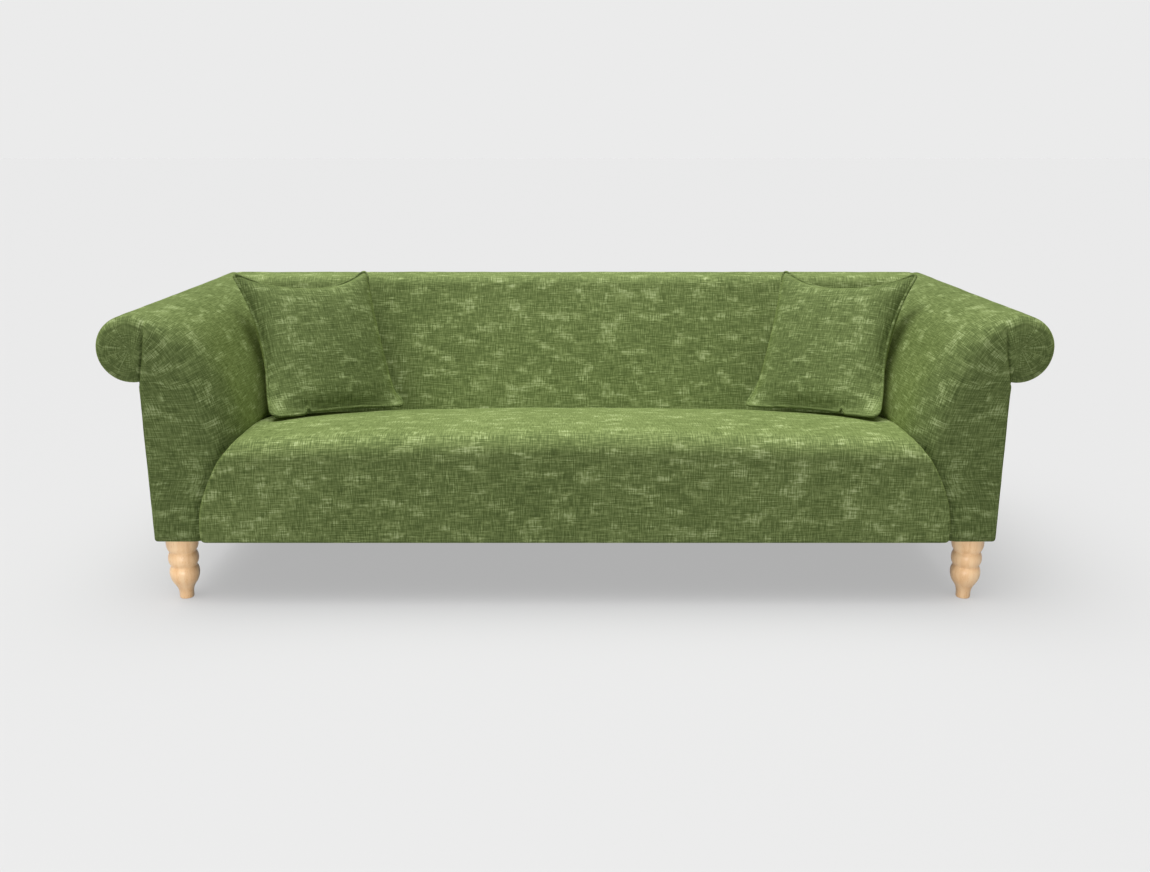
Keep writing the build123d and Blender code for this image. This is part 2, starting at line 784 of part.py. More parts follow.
with BuildPart() as dust_cloth:
    add(box(-frame_x, frame_x, arm_front + cover, frame_y, base - dust_thick, base))
    with BuildSketch(Plane.XY.offset(base - dust_thick)):
        for y in (leg_front_y, leg_rear_y):
            with Locations((-leg_x, y), (leg_x, y)):
                Circle(leg_top + clear)
    extrude(amount=dust_thick, mode=Mode.SUBTRACT)
dust_cloth.part.label = "dust_cloth"
export_step(dust_cloth.part, "parts/dust_cloth.step")


# Turned legs
def leg_outline(x, y):
    """Half profile of a leg: foot, flared bulb, groove, ring, groove and ovolo under a collar."""
    h = leg_height
    bore = x + bolt_radius + fit
    with BuildSketch(Plane.XZ.offset(-y)) as outline:
        with BuildLine():
            Polyline(
                (bore, h),
                (bore, h - bolt_down - fit),
                (x, h - bolt_down - fit),
                (x, 0),
                (x + leg_foot - 1, 0),
                (x + leg_foot, 2),
                (x + leg_foot, 0.07 * h),
            )
            ThreePointArc(
                (x + leg_foot, 0.07 * h),
                (x + leg_foot + 2.6, 0.155 * h),
                (x + leg_foot + 9.5, 0.23 * h),
            )
            ThreePointArc(
                (x + leg_foot + 9.5, 0.23 * h),
                (x + leg_bulb - 2.2, 0.325 * h),
                (x + leg_bulb, 0.41 * h),
            )
            ThreePointArc(
                (x + leg_bulb, 0.41 * h),
                (x + leg_bulb - 1.4, 0.465 * h),
                (x + leg_groove, 0.51 * h),
            )
            Line((x + leg_groove, 0.51 * h), (x + leg_groove, 0.525 * h))
            ThreePointArc(
                (x + leg_groove, 0.525 * h),
                (x + leg_ring, 0.63 * h),
                (x + leg_groove + 1, 0.735 * h),
            )
            Line((x + leg_groove + 1, 0.735 * h), (x + leg_groove + 1, 0.75 * h))
            ThreePointArc(
                (x + leg_groove + 1, 0.75 * h),
                (x + leg_top - 2.2, 0.795 * h),
                (x + leg_top, 0.86 * h),
            )
            Polyline((x + leg_top, 0.86 * h), (x + leg_top, h), (bore, h))
        make_face()
    return outline.sketch


with BuildPart() as front_left_leg:
    revolve(leg_outline(-leg_x, leg_front_y), axis=Axis((-leg_x, leg_front_y, 0), (0, 0, 1)))
front_left_leg.part.label = "front_left_leg"
export_step(front_left_leg.part, "parts/front_left_leg.step")

with BuildPart() as front_right_leg:
    revolve(leg_outline(leg_x, leg_front_y), axis=Axis((leg_x, leg_front_y, 0), (0, 0, 1)))
front_right_leg.part.label = "front_right_leg"
export_step(front_right_leg.part, "parts/front_right_leg.step")

with BuildPart() as rear_left_leg:
    revolve(leg_outline(-leg_x, leg_rear_y), axis=Axis((-leg_x, leg_rear_y, 0), (0, 0, 1)))
rear_left_leg.part.label = "rear_left_leg"
export_step(rear_left_leg.part, "parts/rear_left_leg.step")

with BuildPart() as rear_right_leg:
    revolve(leg_outline(leg_x, leg_rear_y), axis=Axis((leg_x, leg_rear_y, 0), (0, 0, 1)))
rear_right_leg.part.label = "rear_right_leg"
export_step(rear_right_leg.part, "parts/rear_right_leg.step")

leg_places = [(s * leg_x, y) for s in (-1, 1) for y in (leg_front_y, leg_rear_y)]
with BuildPart() as leg_bolts:
    with BuildSketch(Plane.XY.offset(base - bolt_down)):
        with Locations(*leg_places):
            Circle(bolt_radius)
    extrude(amount=bolt_down + bolt_up)
leg_bolts.part.label = "leg_bolts"
export_step(leg_bolts.part, "parts/leg_bolts.step")

with BuildPart() as leg_inserts:
    with BuildSketch(Plane.XY.offset(base)):
        with Locations(*leg_places):
            Circle(insert_radius)
            Circle(bolt_radius + fit, mode=Mode.SUBTRACT)
    extrude(amount=bolt_up)
leg_inserts.part.label = "leg_inserts"
export_step(leg_inserts.part, "parts/leg_inserts.step")

# Scatter cushions: two crowned panels, a filled pad and a piped seam
yaw, tilt = radians(cushion_yaw), radians(cushion_tilt)
facing = Vector(sin(yaw) * cos(tilt), -cos(yaw) * cos(tilt), sin(tilt))
along = Vector(cos(yaw), sin(yaw), 0).rotate(Axis((0, 0, 0), facing), cushion_roll)
middle = (cushion_in - outer_x, roll_y - cushion_ahead, seat_rear_height + cushion_over)
seam = Plane(middle, x_dir=along, z_dir=facing)
rings = [(1.0, 0.0), (0.93, 0.27), (0.8, 0.57), (0.58, 0.85), (0.3, 0.98)]


def pillow_outline(plane, half, draw, corner):
    """A square with its sides drawn in and its corners rounded."""
    in_half = half - draw
    with BuildSketch(plane) as outline:
        with BuildLine():
            ThreePointArc((-half, -half), (0, -in_half), (half, -half))
            ThreePointArc((half, -half), (in_half, 0), (half, half))
            ThreePointArc((half, half), (0, in_half), (-half, half))
            ThreePointArc((-half, half), (-in_half, 0), (-half, -half))
        make_face()
        fillet(outline.vertices(), corner)
    return outline.sketch


def pillow_size(inset):
    """Half size and draw of an outline that stays an even distance inside the piped edge."""
    bow = 2 * atan(cushion_draw / cushion_half)
    corner = inset / (sqrt(2) * sin(radians(45) - bow))
    return cushion_half - corner, cushion_draw - corner + inset


def crown(side, inset, rise, mode=Mode.ADD):
    """One crowned half of a cushion, from just off the seam to its crown."""
    half, draw = pillow_size(piping_radius + 2 * clear + inset)
    sections = [
        pillow_outline(
            seam.offset(side * (clear / 2 + lift * rise)),
            half * scale,
            draw * scale**2,
            (cushion_corner + piping_radius) * scale,
        )
        for scale, lift in rings
    ]
    loft(sections, mode=mode)


with BuildPart() as left_cushion_front:
    crown(1, 0, cushion_rise)
    crown(1, cushion_cloth, cushion_rise - cushion_cloth, Mode.SUBTRACT)
left_cushion_front.part.label = "left_cushion_front"
export_step(left_cushion_front.part, "parts/left_cushion_front.step")

with BuildPart() as left_cushion_back:
    crown(-1, 0, cushion_rise)
    crown(-1, cushion_cloth, cushion_rise - cushion_cloth, Mode.SUBTRACT)
left_cushion_back.part.label = "left_cushion_back"
export_step(left_cushion_back.part, "parts/left_cushion_back.step")

with BuildPart() as left_cushion_pad:
    crown(1, cushion_cloth + clear, cushion_rise - cushion_cloth - clear)
    crown(-1, cushion_cloth + clear, cushion_rise - cushion_cloth - clear)
    half, draw = pillow_size(piping_radius + 3 * clear + cushion_cloth)
    waist = pillow_outline(seam.offset(-clear / 2), half, draw, cushion_corner + piping_radius)
    extrude(waist, amount=clear)
left_cushion_pad.part.label = "left_cushion_pad"
export_step(left_cushion_pad.part, "parts/left_cushion_pad.step")

with BuildPart() as left_cushion_piping:
    edge = pillow_outline(seam, cushion_half, cushion_draw, cushion_corner + piping_radius)
    path = edge.faces()[0].outer_wire()
    with BuildSketch(Plane(path @ 0, z_dir=path % 0)):
        Circle(piping_radius)
    sweep(path=path)
left_cushion_piping.part.label = "left_cushion_piping"
export_step(left_cushion_piping.part, "parts/left_cushion_piping.step")

with BuildPart() as right_cushion_front:
    mirror(left_cushion_front.part, about=Plane.YZ)
right_cushion_front.part.label = "right_cushion_front"
export_step(right_cushion_front.part, "parts/right_cushion_front.step")

with BuildPart() as right_cushion_back:
    mirror(left_cushion_back.part, about=Plane.YZ)
right_cushion_back.part.label = "right_cushion_back"
export_step(right_cushion_back.part, "parts/right_cushion_back.step")

with BuildPart() as right_cushion_pad:
    mirror(left_cushion_pad.part, about=Plane.YZ)
right_cushion_pad.part.label = "right_cushion_pad"
export_step(right_cushion_pad.part, "parts/right_cushion_pad.step")

with BuildPart() as right_cushion_piping:
    mirror(left_cushion_piping.part, about=Plane.YZ)
right_cushion_piping.part.label = "right_cushion_piping"
export_step(right_cushion_piping.part, "parts/right_cushion_piping.step")
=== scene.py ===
# %% [markdown]
# # A roll-arm sofa in green slub velvet
# The real sofa is a timber frame with foam, wadding and one cloth over everything.
# The solids of the frame are loaded first and stay where they are. Every soft part is
# then made again as a softer skin in the same place, because cloth over foam has no hard edges.

# %% Load the frame
import json
import math

import bmesh
import bpy
import numpy as np
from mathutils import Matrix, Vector, noise

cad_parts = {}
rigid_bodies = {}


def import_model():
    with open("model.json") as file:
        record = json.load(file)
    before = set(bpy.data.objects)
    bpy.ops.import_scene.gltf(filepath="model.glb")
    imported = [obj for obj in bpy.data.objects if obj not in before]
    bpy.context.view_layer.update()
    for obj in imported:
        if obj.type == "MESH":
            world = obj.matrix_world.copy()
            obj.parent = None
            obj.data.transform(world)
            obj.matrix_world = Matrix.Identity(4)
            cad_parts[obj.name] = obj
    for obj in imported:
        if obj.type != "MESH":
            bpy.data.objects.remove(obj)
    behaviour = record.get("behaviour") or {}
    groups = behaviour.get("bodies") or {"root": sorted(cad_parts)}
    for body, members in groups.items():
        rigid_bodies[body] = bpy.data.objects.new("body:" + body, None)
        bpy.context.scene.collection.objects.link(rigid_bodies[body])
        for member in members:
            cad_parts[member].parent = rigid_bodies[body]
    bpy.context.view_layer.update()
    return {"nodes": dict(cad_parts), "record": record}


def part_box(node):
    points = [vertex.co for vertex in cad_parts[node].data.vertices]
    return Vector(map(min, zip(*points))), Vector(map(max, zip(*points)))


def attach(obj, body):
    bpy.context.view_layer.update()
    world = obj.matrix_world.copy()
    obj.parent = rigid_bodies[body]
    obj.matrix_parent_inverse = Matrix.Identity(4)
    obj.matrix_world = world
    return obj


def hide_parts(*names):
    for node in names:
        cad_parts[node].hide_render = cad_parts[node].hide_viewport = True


for leftover in list(bpy.data.objects):
    bpy.data.objects.remove(leftover)
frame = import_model()
nodes = frame["nodes"]
scene = bpy.context.scene

# %% [markdown]
# ## Small helpers for materials
# Colours are picked as sRGB hex values, as in any paint program, but shaders add light in
# linear values, so one function turns one into the other. A second function adds a node to a
# tree, sets it and links it, which keeps each material readable from top to bottom. A node that
# is given to it as a value stands for that node's first output.


# %% Colours and nodes
def linear(hex_colour):
    """Linear red, green, blue and alpha of an sRGB hex colour."""
    channels = [int(hex_colour[i : i + 2], 16) / 255 for i in (1, 3, 5)]
    return [c / 12.92 if c <= 0.04045 else ((c + 0.055) / 1.055) ** 2.4 for c in channels] + [1.0]


def add_node(tree, kind, inputs=None, **settings):
    """Adds a node, sets it, and links or sets its inputs."""
    made = tree.nodes.new(kind)
    for name, value in settings.items():
        setattr(made, name, value)
    for socket, value in (inputs or {}).items():
        if isinstance(value, bpy.types.Node):
            value = value.outputs[0]
        if isinstance(value, bpy.types.NodeSocket):
            tree.links.new(value, made.inputs[socket])
        else:
            made.inputs[socket].default_value = value
    return made


def new_material(name):
    """An empty material and its node tree."""
    material = bpy.data.materials.new(name)
    material.use_nodes = True
    material.node_tree.nodes.clear()
    return material, material.node_tree


def set_ramp(ramp, stops):
    """Gives a colour ramp its stops: places from 0 to 1 with hex colours."""
    elements = ramp.color_ramp.elements
    while len(elements) < len(stops):
        elements.new(0.5)
    for element, (place, colour) in zip(elements, stops):
        element.position = place
        element.color = linear(colour)


print("a mid grey in linear light:", [round(c, 3) for c in linear("#808080")[:3]])

# %% [markdown]
# ## The cloth: slub velvet
# Slub yarn is thick and thin by turns, so the pile of this velvet catches the light in short
# streaks along the warp and the weft, and in rubbed patches two or three fingers wide. It could be
# one image, but stretched noise gives the same look at any size: one noise pulled out along the
# weft, one along the warp, and wider ones for the wear. The cloth's own UV map is in metres, so
# every size below is a real one.

# %% Sizes in the cloth
# Each streak has its length along the weft and along the warp, the noise's detail, and its seed.
# Threads are about 1 mm apart. They are drawn near 3 mm apart, so that they show from across a room.
STREAKS = {
    "weft": (0.042, 0.0028, 2.0, 3.0),
    "warp": (0.0028, 0.032, 2.0, 11.0),
    "rubbed": (0.072, 0.036, 3.0, 23.0),
    "worn_weft": (0.085, 0.010, 2.5, 31.0),
    "worn_warp": (0.011, 0.05, 2.5, 47.0),
    "shade": (0.34, 0.30, 1.0, 59.0),
}
# the noise's value where wear begins to show, and where it shows in full
WEAR = {"rubbed": (0.50, 0.68), "worn_weft": (0.52, 0.76), "worn_warp": (0.56, 0.80)}
THREAD_CONTRAST, THREAD_TONE = 1.72, 0.33
CRISP_FROM, CRISP_TO, CRISP_LEAST = 0.38, 0.62, 0.30  # wear shows most on top of the threads
WORN_SHARE, WORN_LIGHTER, CLOUDS = 0.62, 0.42, 0.11
TONE_STOPS = (0.0, 0.33, 0.62, 1.0)
PILE_DEPTH = 0.0012
PILE_SHEEN = "#C2DE5E"
print("cloth:", len(STREAKS), "kinds of streak, threads drawn", STREAKS["weft"][1] * 1000, "mm apart")


# %% Slub velvet
def slub_velvet(name, tones):
    """Woven pile cloth: matt, with pale rubbed streaks, and a soft sheen where it turns away."""
    material, tree = new_material(name)
    cloth = add_node(tree, "ShaderNodeUVMap", uv_map="cloth")
    part = {}
    for streak, (on_weft, on_warp, detail, seed) in STREAKS.items():
        scaled = add_node(
            tree,
            "ShaderNodeMapping",
            {"Vector": cloth, "Location": (seed, seed * 0.7, 0), "Scale": (1 / on_weft, 1 / on_warp, 1)},
        )
        part[streak] = add_node(
            tree,
            "ShaderNodeTexNoise",
            {"Vector": scaled, "Scale": 1.0, "Detail": detail, "Roughness": 0.6},
            noise_dimensions="2D",
        )
    for streak, (begins, full) in WEAR.items():
        part[streak] = add_node(
            tree,
            "ShaderNodeMapRange",
            {"Value": part[streak], "From Min": begins, "From Max": full},
            interpolation_type="SMOOTHSTEP",
        )
    both = add_node(tree, "ShaderNodeMath", {0: part["weft"], 1: part["warp"]}, operation="ADD")
    threads = add_node(tree, "ShaderNodeMath", {0: both, 1: 0.5}, operation="MULTIPLY")
    worn = add_node(tree, "ShaderNodeMath", {0: part["worn_weft"], 1: part["worn_warp"]}, operation="MAXIMUM")
    worn = add_node(tree, "ShaderNodeMath", {0: worn, 1: WORN_SHARE}, operation="MULTIPLY")
    worn = add_node(tree, "ShaderNodeMath", {0: worn, 1: part["rubbed"]}, operation="MAXIMUM")
    crisp = add_node(
        tree,
        "ShaderNodeMapRange",
        {"Value": threads, "From Min": CRISP_FROM, "From Max": CRISP_TO, "To Min": CRISP_LEAST},
        interpolation_type="SMOOTHSTEP",
    )
    lighter = add_node(tree, "ShaderNodeMath", {0: worn, 1: crisp}, operation="MULTIPLY")
    clouds = add_node(
        tree, "ShaderNodeMapRange", {"Value": part["shade"], "To Min": -CLOUDS, "To Max": CLOUDS}
    )
    middle = THREAD_TONE - 0.5 * THREAD_CONTRAST
    spread = {0: threads, 1: THREAD_CONTRAST, 2: middle}
    tone = add_node(tree, "ShaderNodeMath", spread, operation="MULTIPLY_ADD")
    tone = add_node(tree, "ShaderNodeMath", {0: lighter, 1: WORN_LIGHTER, 2: tone}, operation="MULTIPLY_ADD")
    tone = add_node(tree, "ShaderNodeMath", {0: tone, 1: clouds}, operation="ADD", use_clamp=True)
    ramp = add_node(tree, "ShaderNodeValToRGB", {"Fac": tone})
    set_ramp(ramp, list(zip(TONE_STOPS, tones)))
    # rubbed pile lies lower than the threads that still stand
    sunk = add_node(tree, "ShaderNodeMath", {0: worn, 1: -0.25}, operation="MULTIPLY")
    height = add_node(tree, "ShaderNodeMath", {0: threads, 1: 0.5, 2: sunk}, operation="MULTIPLY_ADD")
    bump = add_node(tree, "ShaderNodeBump", {"Height": height, "Strength": 0.35, "Distance": PILE_DEPTH})
    shader = add_node(
        tree,
        "ShaderNodeBsdfPrincipled",
        {
            "Base Color": ramp,
            "Roughness": 0.9,
            "IOR": 1.46,
            "Specular IOR Level": 0.18,
            "Sheen Weight": 0.25,
            "Sheen Roughness": 0.42,
            "Sheen Tint": linear(PILE_SHEEN),
            "Normal": bump,
        },
    )
    add_node(tree, "ShaderNodeOutputMaterial", {"Surface": shader})
    return material


velvet = slub_velvet("green_slub_velvet", ("#48562C", "#667543", "#84935B", "#ABB885"))
# the same cloth in darker tones, as painted shade on the arms and cushions, which get less light
painted_shade_velvet = slub_velvet("green_slub_velvet_painted_shade", ("#404D27", "#5C6A3C", "#778652", "#9CA978"))
print("cloth:", velvet.name, len(velvet.node_tree.nodes), "nodes, and", painted_shade_velvet.name)

# %% [markdown]
# ## The sofa's own curves
# The arm is a scroll of one radius that runs into a wide crown and then a long, nearly flat
# inside face. The back repeats the scroll and leans. The seat is domed and closes in towards
# its top at both ends. The same radii as in the solid model are written here in metres, because
# the skins need points along these curves and the solids give only triangles.

# %% Sizes of the body
HALF_WIDTH, HALF_DEPTH, HEIGHT, BASE = 1.150, 0.500, 0.740, 0.171
ROLL, OVERHANG = 0.077, 0.093  # the scroll's radius, and how far it stands past the outside panels
ROLL_X, ROLL_Y, ROLL_Z = HALF_WIDTH - ROLL, HALF_DEPTH - ROLL, HEIGHT - ROLL
OUTER_X, OUTER_Y = HALF_WIDTH - OVERHANG, HALF_DEPTH - OVERHANG
SEAT_PROUD = 0.013  # the seat's front stands this far before the arms
ARM_FRONT = SEAT_PROUD - HALF_DEPTH
CROWN, TURN, FACE = 0.175, math.radians(61), 0.646  # the crown's radius and turn, the inside face's radius
CROWN_Z = HEIGHT - CROWN
FACE_X = ROLL_X + (FACE - CROWN) * math.sin(TURN)
FACE_Z = CROWN_Z - (FACE - CROWN) * math.cos(TURN)
BACK_FLAT, BACK_ROUND, LEAN = 0.090, 0.038, math.radians(22)  # the back's flat top, its edge and its lean
HEM = 0.006  # cloth below the scroll, above the outside panels
WRAP = 0.017  # arm cloth round the outer front corner
CREASE_Z = ROLL_Z - math.sqrt(ROLL**2 - (ROLL_X - OUTER_X) ** 2)
PANEL_TOP = CREASE_Z - HEM
print("crease under the scroll at", round(CREASE_Z, 4), "m")

# %% Curves of the back and the seat
SEAT_FRONT, SEAT_REAR, NOSE = 0.449, 0.358, 0.050  # the seat's heights and its front edge's radius
ARM_BASE, SIDE_RADIUS, SIDE_LOW = 0.115, 0.374, 0.0095  # the arm's width at its foot, the seat's end curve
SEAT_HALF, SIDE_Z = OUTER_X - ARM_BASE, BASE + SIDE_LOW
SEAT_CROWN = 18.6  # radius of the seat's slight rise across its width


def lean_y(z, pad=0.0):
    """Y of the back's leaning face at height z."""
    r = BACK_ROUND - pad
    y = ROLL_Y - BACK_FLAT - r * math.cos(LEAN)
    return y - (HEIGHT - BACK_ROUND + r * math.sin(LEAN) - z) * math.tan(LEAN)


SEAT_RUN = lean_y(SEAT_REAR) + HALF_DEPTH - NOSE
SEAT_DROP = SEAT_FRONT - SEAT_REAR
DOME = (SEAT_RUN**2 + SEAT_DROP**2) / (2 * SEAT_DROP)


def seat_top(y):
    """Height of the seat's middle at y."""
    ahead = np.minimum(np.asarray(y) + HALF_DEPTH - NOSE, 0.0)
    behind = np.maximum(np.asarray(y) + HALF_DEPTH - NOSE, 0.0)
    nose = SEAT_FRONT - NOSE + np.sqrt(np.maximum(NOSE**2 - ahead**2, 0))
    return np.where(behind > 0, SEAT_FRONT - DOME + np.sqrt(DOME**2 - behind**2), nose)


def seat_side(z):
    """Half the seat's width at height z."""
    return SEAT_HALF - SIDE_RADIUS + np.sqrt(np.maximum(SIDE_RADIUS**2 - (z - SIDE_Z) ** 2, 0))


def arc(cx, cz, radius, start, end, count, ends=True):
    """Points on an arc, from one angle to another."""
    angle = np.linspace(start, end, count, endpoint=ends)
    return np.stack([cx + radius * np.cos(angle), cz + radius * np.sin(angle)], 1)


def line(a, b, count):
    """Points on a straight run, without its last one."""
    return np.linspace(np.array(a), np.array(b), count, endpoint=False)


print("the seat is domed with a radius of", round(DOME, 3), "m")

# %% [markdown]
# ## A skin over rings
# Arm, back and seat are each a row of closed rings of points, joined by quads. That is the
# loft of a solid modeller, but the rings can be pulled in, puffed out or pinched at a seam
# before they are joined. One subdivision level then rounds what is left. Each corner also gets
# its cloth coordinates in metres, the distance along the piece and the distance round the ring,
# so that the streaks run as they would on cut cloth.


# %% Mesh helpers
def new_piece(name, shape):
    """An object at the origin, made from its data or from a bmesh."""
    if isinstance(shape, bmesh.types.BMesh):
        mesh = bpy.data.meshes.new(name)
        shape.to_mesh(mesh)
        shape.free()
        shape = mesh
    piece = bpy.data.objects.new(name, shape)
    scene.collection.objects.link(piece)
    return piece


def make_plain(piece):
    """Turns the modifiers' result into the piece's own mesh."""
    bpy.context.view_layer.update()
    done = bpy.data.meshes.new_from_object(piece.evaluated_get(bpy.context.evaluated_depsgraph_get()))
    piece.modifiers.clear()
    piece.data = done
    done.shade_smooth()
    return piece


def vertex_values(mesh, kind):
    """One xyz row for each vertex: kind is co or normal."""
    flat = np.empty(len(mesh.vertices) * 3)
    mesh.vertices.foreach_get(kind, flat)
    return flat.reshape(-1, 3)


def put_points(mesh, points):
    """Moves all the vertices."""
    mesh.vertices.foreach_set("co", np.asarray(points).ravel())
    mesh.update()


# %% Ring skin
MERGE, NO_LENGTH = 2e-5, 1e-6  # points this near are merged, and edges this short are dissolved
SKIN_LEVELS = 1


def skin(name, rings, along, front=None):
    """Joins closed rings (ring, point, xyz). along is each ring point's place down the piece. front is
    a patch with cloth coordinates of its own: its rings, the column it leaves out, the coordinates."""
    count, around = rings.shape[:2]
    middle = rings[count // 2]
    steps = np.linalg.norm(np.roll(middle, -1, axis=0) - middle, axis=1)
    girth = np.concatenate([[0], np.cumsum(steps)])
    bm = bmesh.new()
    uv_layer = bm.loops.layers.uv.new("cloth")
    verts = [[bm.verts.new(p) for p in ring] for ring in rings]
    for r in range(count - 1):
        for i in range(around):
            j = (i + 1) % around
            face = bm.faces.new((verts[r][i], verts[r][j], verts[r + 1][j], verts[r + 1][i]))
            corners = ((r, i, i), (r, j, i + 1), (r + 1, j, i + 1), (r + 1, i, i))
            for loop, (row, col, cut) in zip(face.loops, corners):
                if front and r < front[0] and i != front[1]:
                    loop[uv_layer].uv = front[2][row, col]
                else:
                    loop[uv_layer].uv = (along[row, col], girth[cut])
    bmesh.ops.remove_doubles(bm, verts=bm.verts, dist=MERGE)
    bmesh.ops.dissolve_degenerate(bm, edges=bm.edges, dist=NO_LENGTH)
    bmesh.ops.recalc_face_normals(bm, faces=bm.faces)
    piece = new_piece(name, bm)
    soften = piece.modifiers.new("soften", "SUBSURF")
    soften.levels = soften.render_levels = SKIN_LEVELS
    soften.uv_smooth = "PRESERVE_BOUNDARIES"
    return make_plain(piece)


print("each face of a skin is divided into", 4**SKIN_LEVELS)

# %% Wadding and cloth on a piece
LONG_WAVE, SHORT_WAVE = 0.11, 0.04  # how far apart the wadding's humps are
TIGHT_LOW = 0.020  # the lowest part of the cloth is pulled tight under the frame


def softness(points, size, seed):
    """Smooth random values between -1 and 1, for the small unevenness of hand-laid wadding."""
    return np.array([noise.noise(Vector(p) / size + Vector((seed, seed, seed))) for p in points])


def finish_cloth(piece, body, *stands_for, fill=0.85, uneven=0.0008, seed=1.0, cloth=velvet):
    """Adds the unevenness of wadding, the cloth and the calls that tie the piece to the frame."""
    mesh = piece.data
    points = vertex_values(mesh, "co")
    wave = softness(points, LONG_WAVE, seed) + 0.5 * softness(points, SHORT_WAVE, seed + 9)
    wave *= np.clip((points[:, 2] - BASE) / TIGHT_LOW, 0, 1)
    put_points(mesh, points + vertex_values(mesh, "normal") * (wave * uneven)[:, None])
    mesh.materials.clear()
    mesh.materials.append(cloth)
    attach(piece, body)
    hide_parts(*stands_for)
    print(piece.name, len(mesh.polygons), "faces")
    return piece


print("the wadding has humps", LONG_WAVE, "m and", SHORT_WAVE, "m apart")

# %% [markdown]
# ## The arms
# The arm's cloth comes up the inside face, goes over the scroll and down behind it, and wraps the
# flat front with no facing panel. Only one seam shows in front, from the top of the scroll down to
# the crease. An arm could be a bevelled curve, but its end wouldn't close like sewn cloth. Here each
# arm is rings of one outline: first rings that grow from a line inside the front and fill the flat
# end, then the rounded edge, then the long run to the back corner, cut at 45 degrees.

# %% Arm outline
OUT_COUNT, SCROLL_COUNT, CROWN_COUNT, UNDER_COUNT, EDGE_COUNT = 60, 56, 20, 8, 4
HEAD = UNDER_COUNT - 1 + EDGE_COUNT  # ring points before the outside
EDGE = 0.006  # rounding along the lower edge
SEAT_HIDES = 0.012  # the arm goes on this far under the seat's edge
FULLER, FURTHER, FULL_LENGTH = 0.0062, 0.0068, 0.30  # the wadding is rolled thicker at the scroll's front


def arm_section(y, pad=0.0, side=0.0, lift=0.0, inner=0.0):
    """The right arm's outline at y as x and z: underside, outside, scroll, crown, inside face."""
    more = math.exp(-(((y - ARM_FRONT) / FULL_LENGTH) ** 2))
    roll_x, roll_z = ROLL_X + FURTHER * more, ROLL_Z - FULLER * more
    r, crown, face = ROLL + FULLER * more - pad, CROWN - pad, FACE - inner
    x_out, foot = OUTER_X - side, BASE + lift
    crease = roll_z - math.sqrt(r**2 - (roll_x - x_out) ** 2)
    outside = line((x_out, foot + EDGE), (x_out, crease), OUT_COUNT)
    start = math.atan2(crease - roll_z, x_out - roll_x)
    scroll = arc(roll_x, roll_z, r, start, math.pi / 2, SCROLL_COUNT, False)
    turned = math.pi / 2 + TURN
    top = arc(ROLL_X, CROWN_Z, crown, math.pi / 2, turned, CROWN_COUNT, False)
    drawn = arc(ROLL_X, CROWN_Z, CROWN - inner, math.pi / 2, turned, CROWN_COUNT, False)
    blend = np.linspace(0, 1, CROWN_COUNT)[:, None]
    low = math.pi - math.asin((foot - FACE_Z) / face)
    inside = arc(FACE_X, FACE_Z, face, turned, low, OUT_COUNT - CROWN_COUNT)
    # below the seat's top the arm stops behind the seat's curved side
    under = inside[:, 1] < seat_top(max(y, ARM_FRONT)) - SEAT_HIDES
    inside[under, 0] = np.maximum(inside[under, 0], seat_side(inside[under, 1]) - SEAT_HIDES)
    sole = line(inside[-1], (x_out - EDGE, foot), UNDER_COUNT)[1:]
    corner = arc(x_out - EDGE, foot + EDGE, EDGE, -math.pi / 2, 0, EDGE_COUNT, False)
    return np.concatenate([sole, corner, outside, scroll, top * (1 - blend) + drawn * blend, inside])


print("arm outline:", len(arm_section(ARM_FRONT)), "points")

# %% Line on which the front closes
# It runs up the middle of the arm's front and ends in the scroll's centre.
# Every outline point has a place on it.
LOW_SPINE = [(1.000, 0.215), (0.975, 0.33), (0.958, 0.45), (0.985, 0.56), (1.040, 0.635)]
SPINE = np.array([*LOW_SPINE, (ROLL_X, ROLL_Z)])
up_outside = np.linspace(0, 1, OUT_COUNT, endpoint=False)
down_inside = np.linspace(1, 0, OUT_COUNT, endpoint=False)[1:]
share = np.concatenate([np.zeros(HEAD), up_outside, np.ones(SCROLL_COUNT + 1), down_inside])
rise = np.linspace(0, 1, len(SPINE))
arm_spine = np.stack([np.interp(share, rise, SPINE[:, 0]), np.interp(share, rise, SPINE[:, 1])], 1)
print("spine points:", len(arm_spine))

# %% Flat front of the arm
FRONT_RINGS = 28
FRONT_ROUND, OUTER_ROUND = 0.026, 0.005  # rounding round the scroll and down the outer edge
PUFF, PUFF_RISE = 0.004, 2.2  # the front is padded a little
FRONT_HEM = -0.002  # the front's lower edge hangs a little below the frame
INNER_IN, INNER_BACK = 0.054, 0.140  # the long soft turn onto the inside face
WRAP_PROUD = 0.0040  # the wrapped outer edge stands this far out
arm_rings, arm_along = [], []


def put_ring(outline, y, travel):
    """Adds a ring of the arm at y. travel is the cloth's way down the arm."""
    arm_rings.append(np.stack([outline[:, 0], np.broadcast_to(y, len(outline)), outline[:, 1]], 1))
    arm_along.append(np.broadcast_to(travel, len(outline)))


front_edge = arm_section(ARM_FRONT, FRONT_ROUND, OUTER_ROUND - WRAP_PROUD, FRONT_HEM, INNER_IN)
from_edge = np.linalg.norm(front_edge - arm_spine, axis=1)
for t in np.linspace(1, 0, FRONT_RINGS, endpoint=False):
    puff = PUFF * (1 - (1 - min(t * PUFF_RISE, 1)) ** 2)
    put_ring(front_edge * (1 - t) + arm_spine * t, ARM_FRONT - puff, -t * from_edge)
print("flat front:", len(arm_rings), "rings")

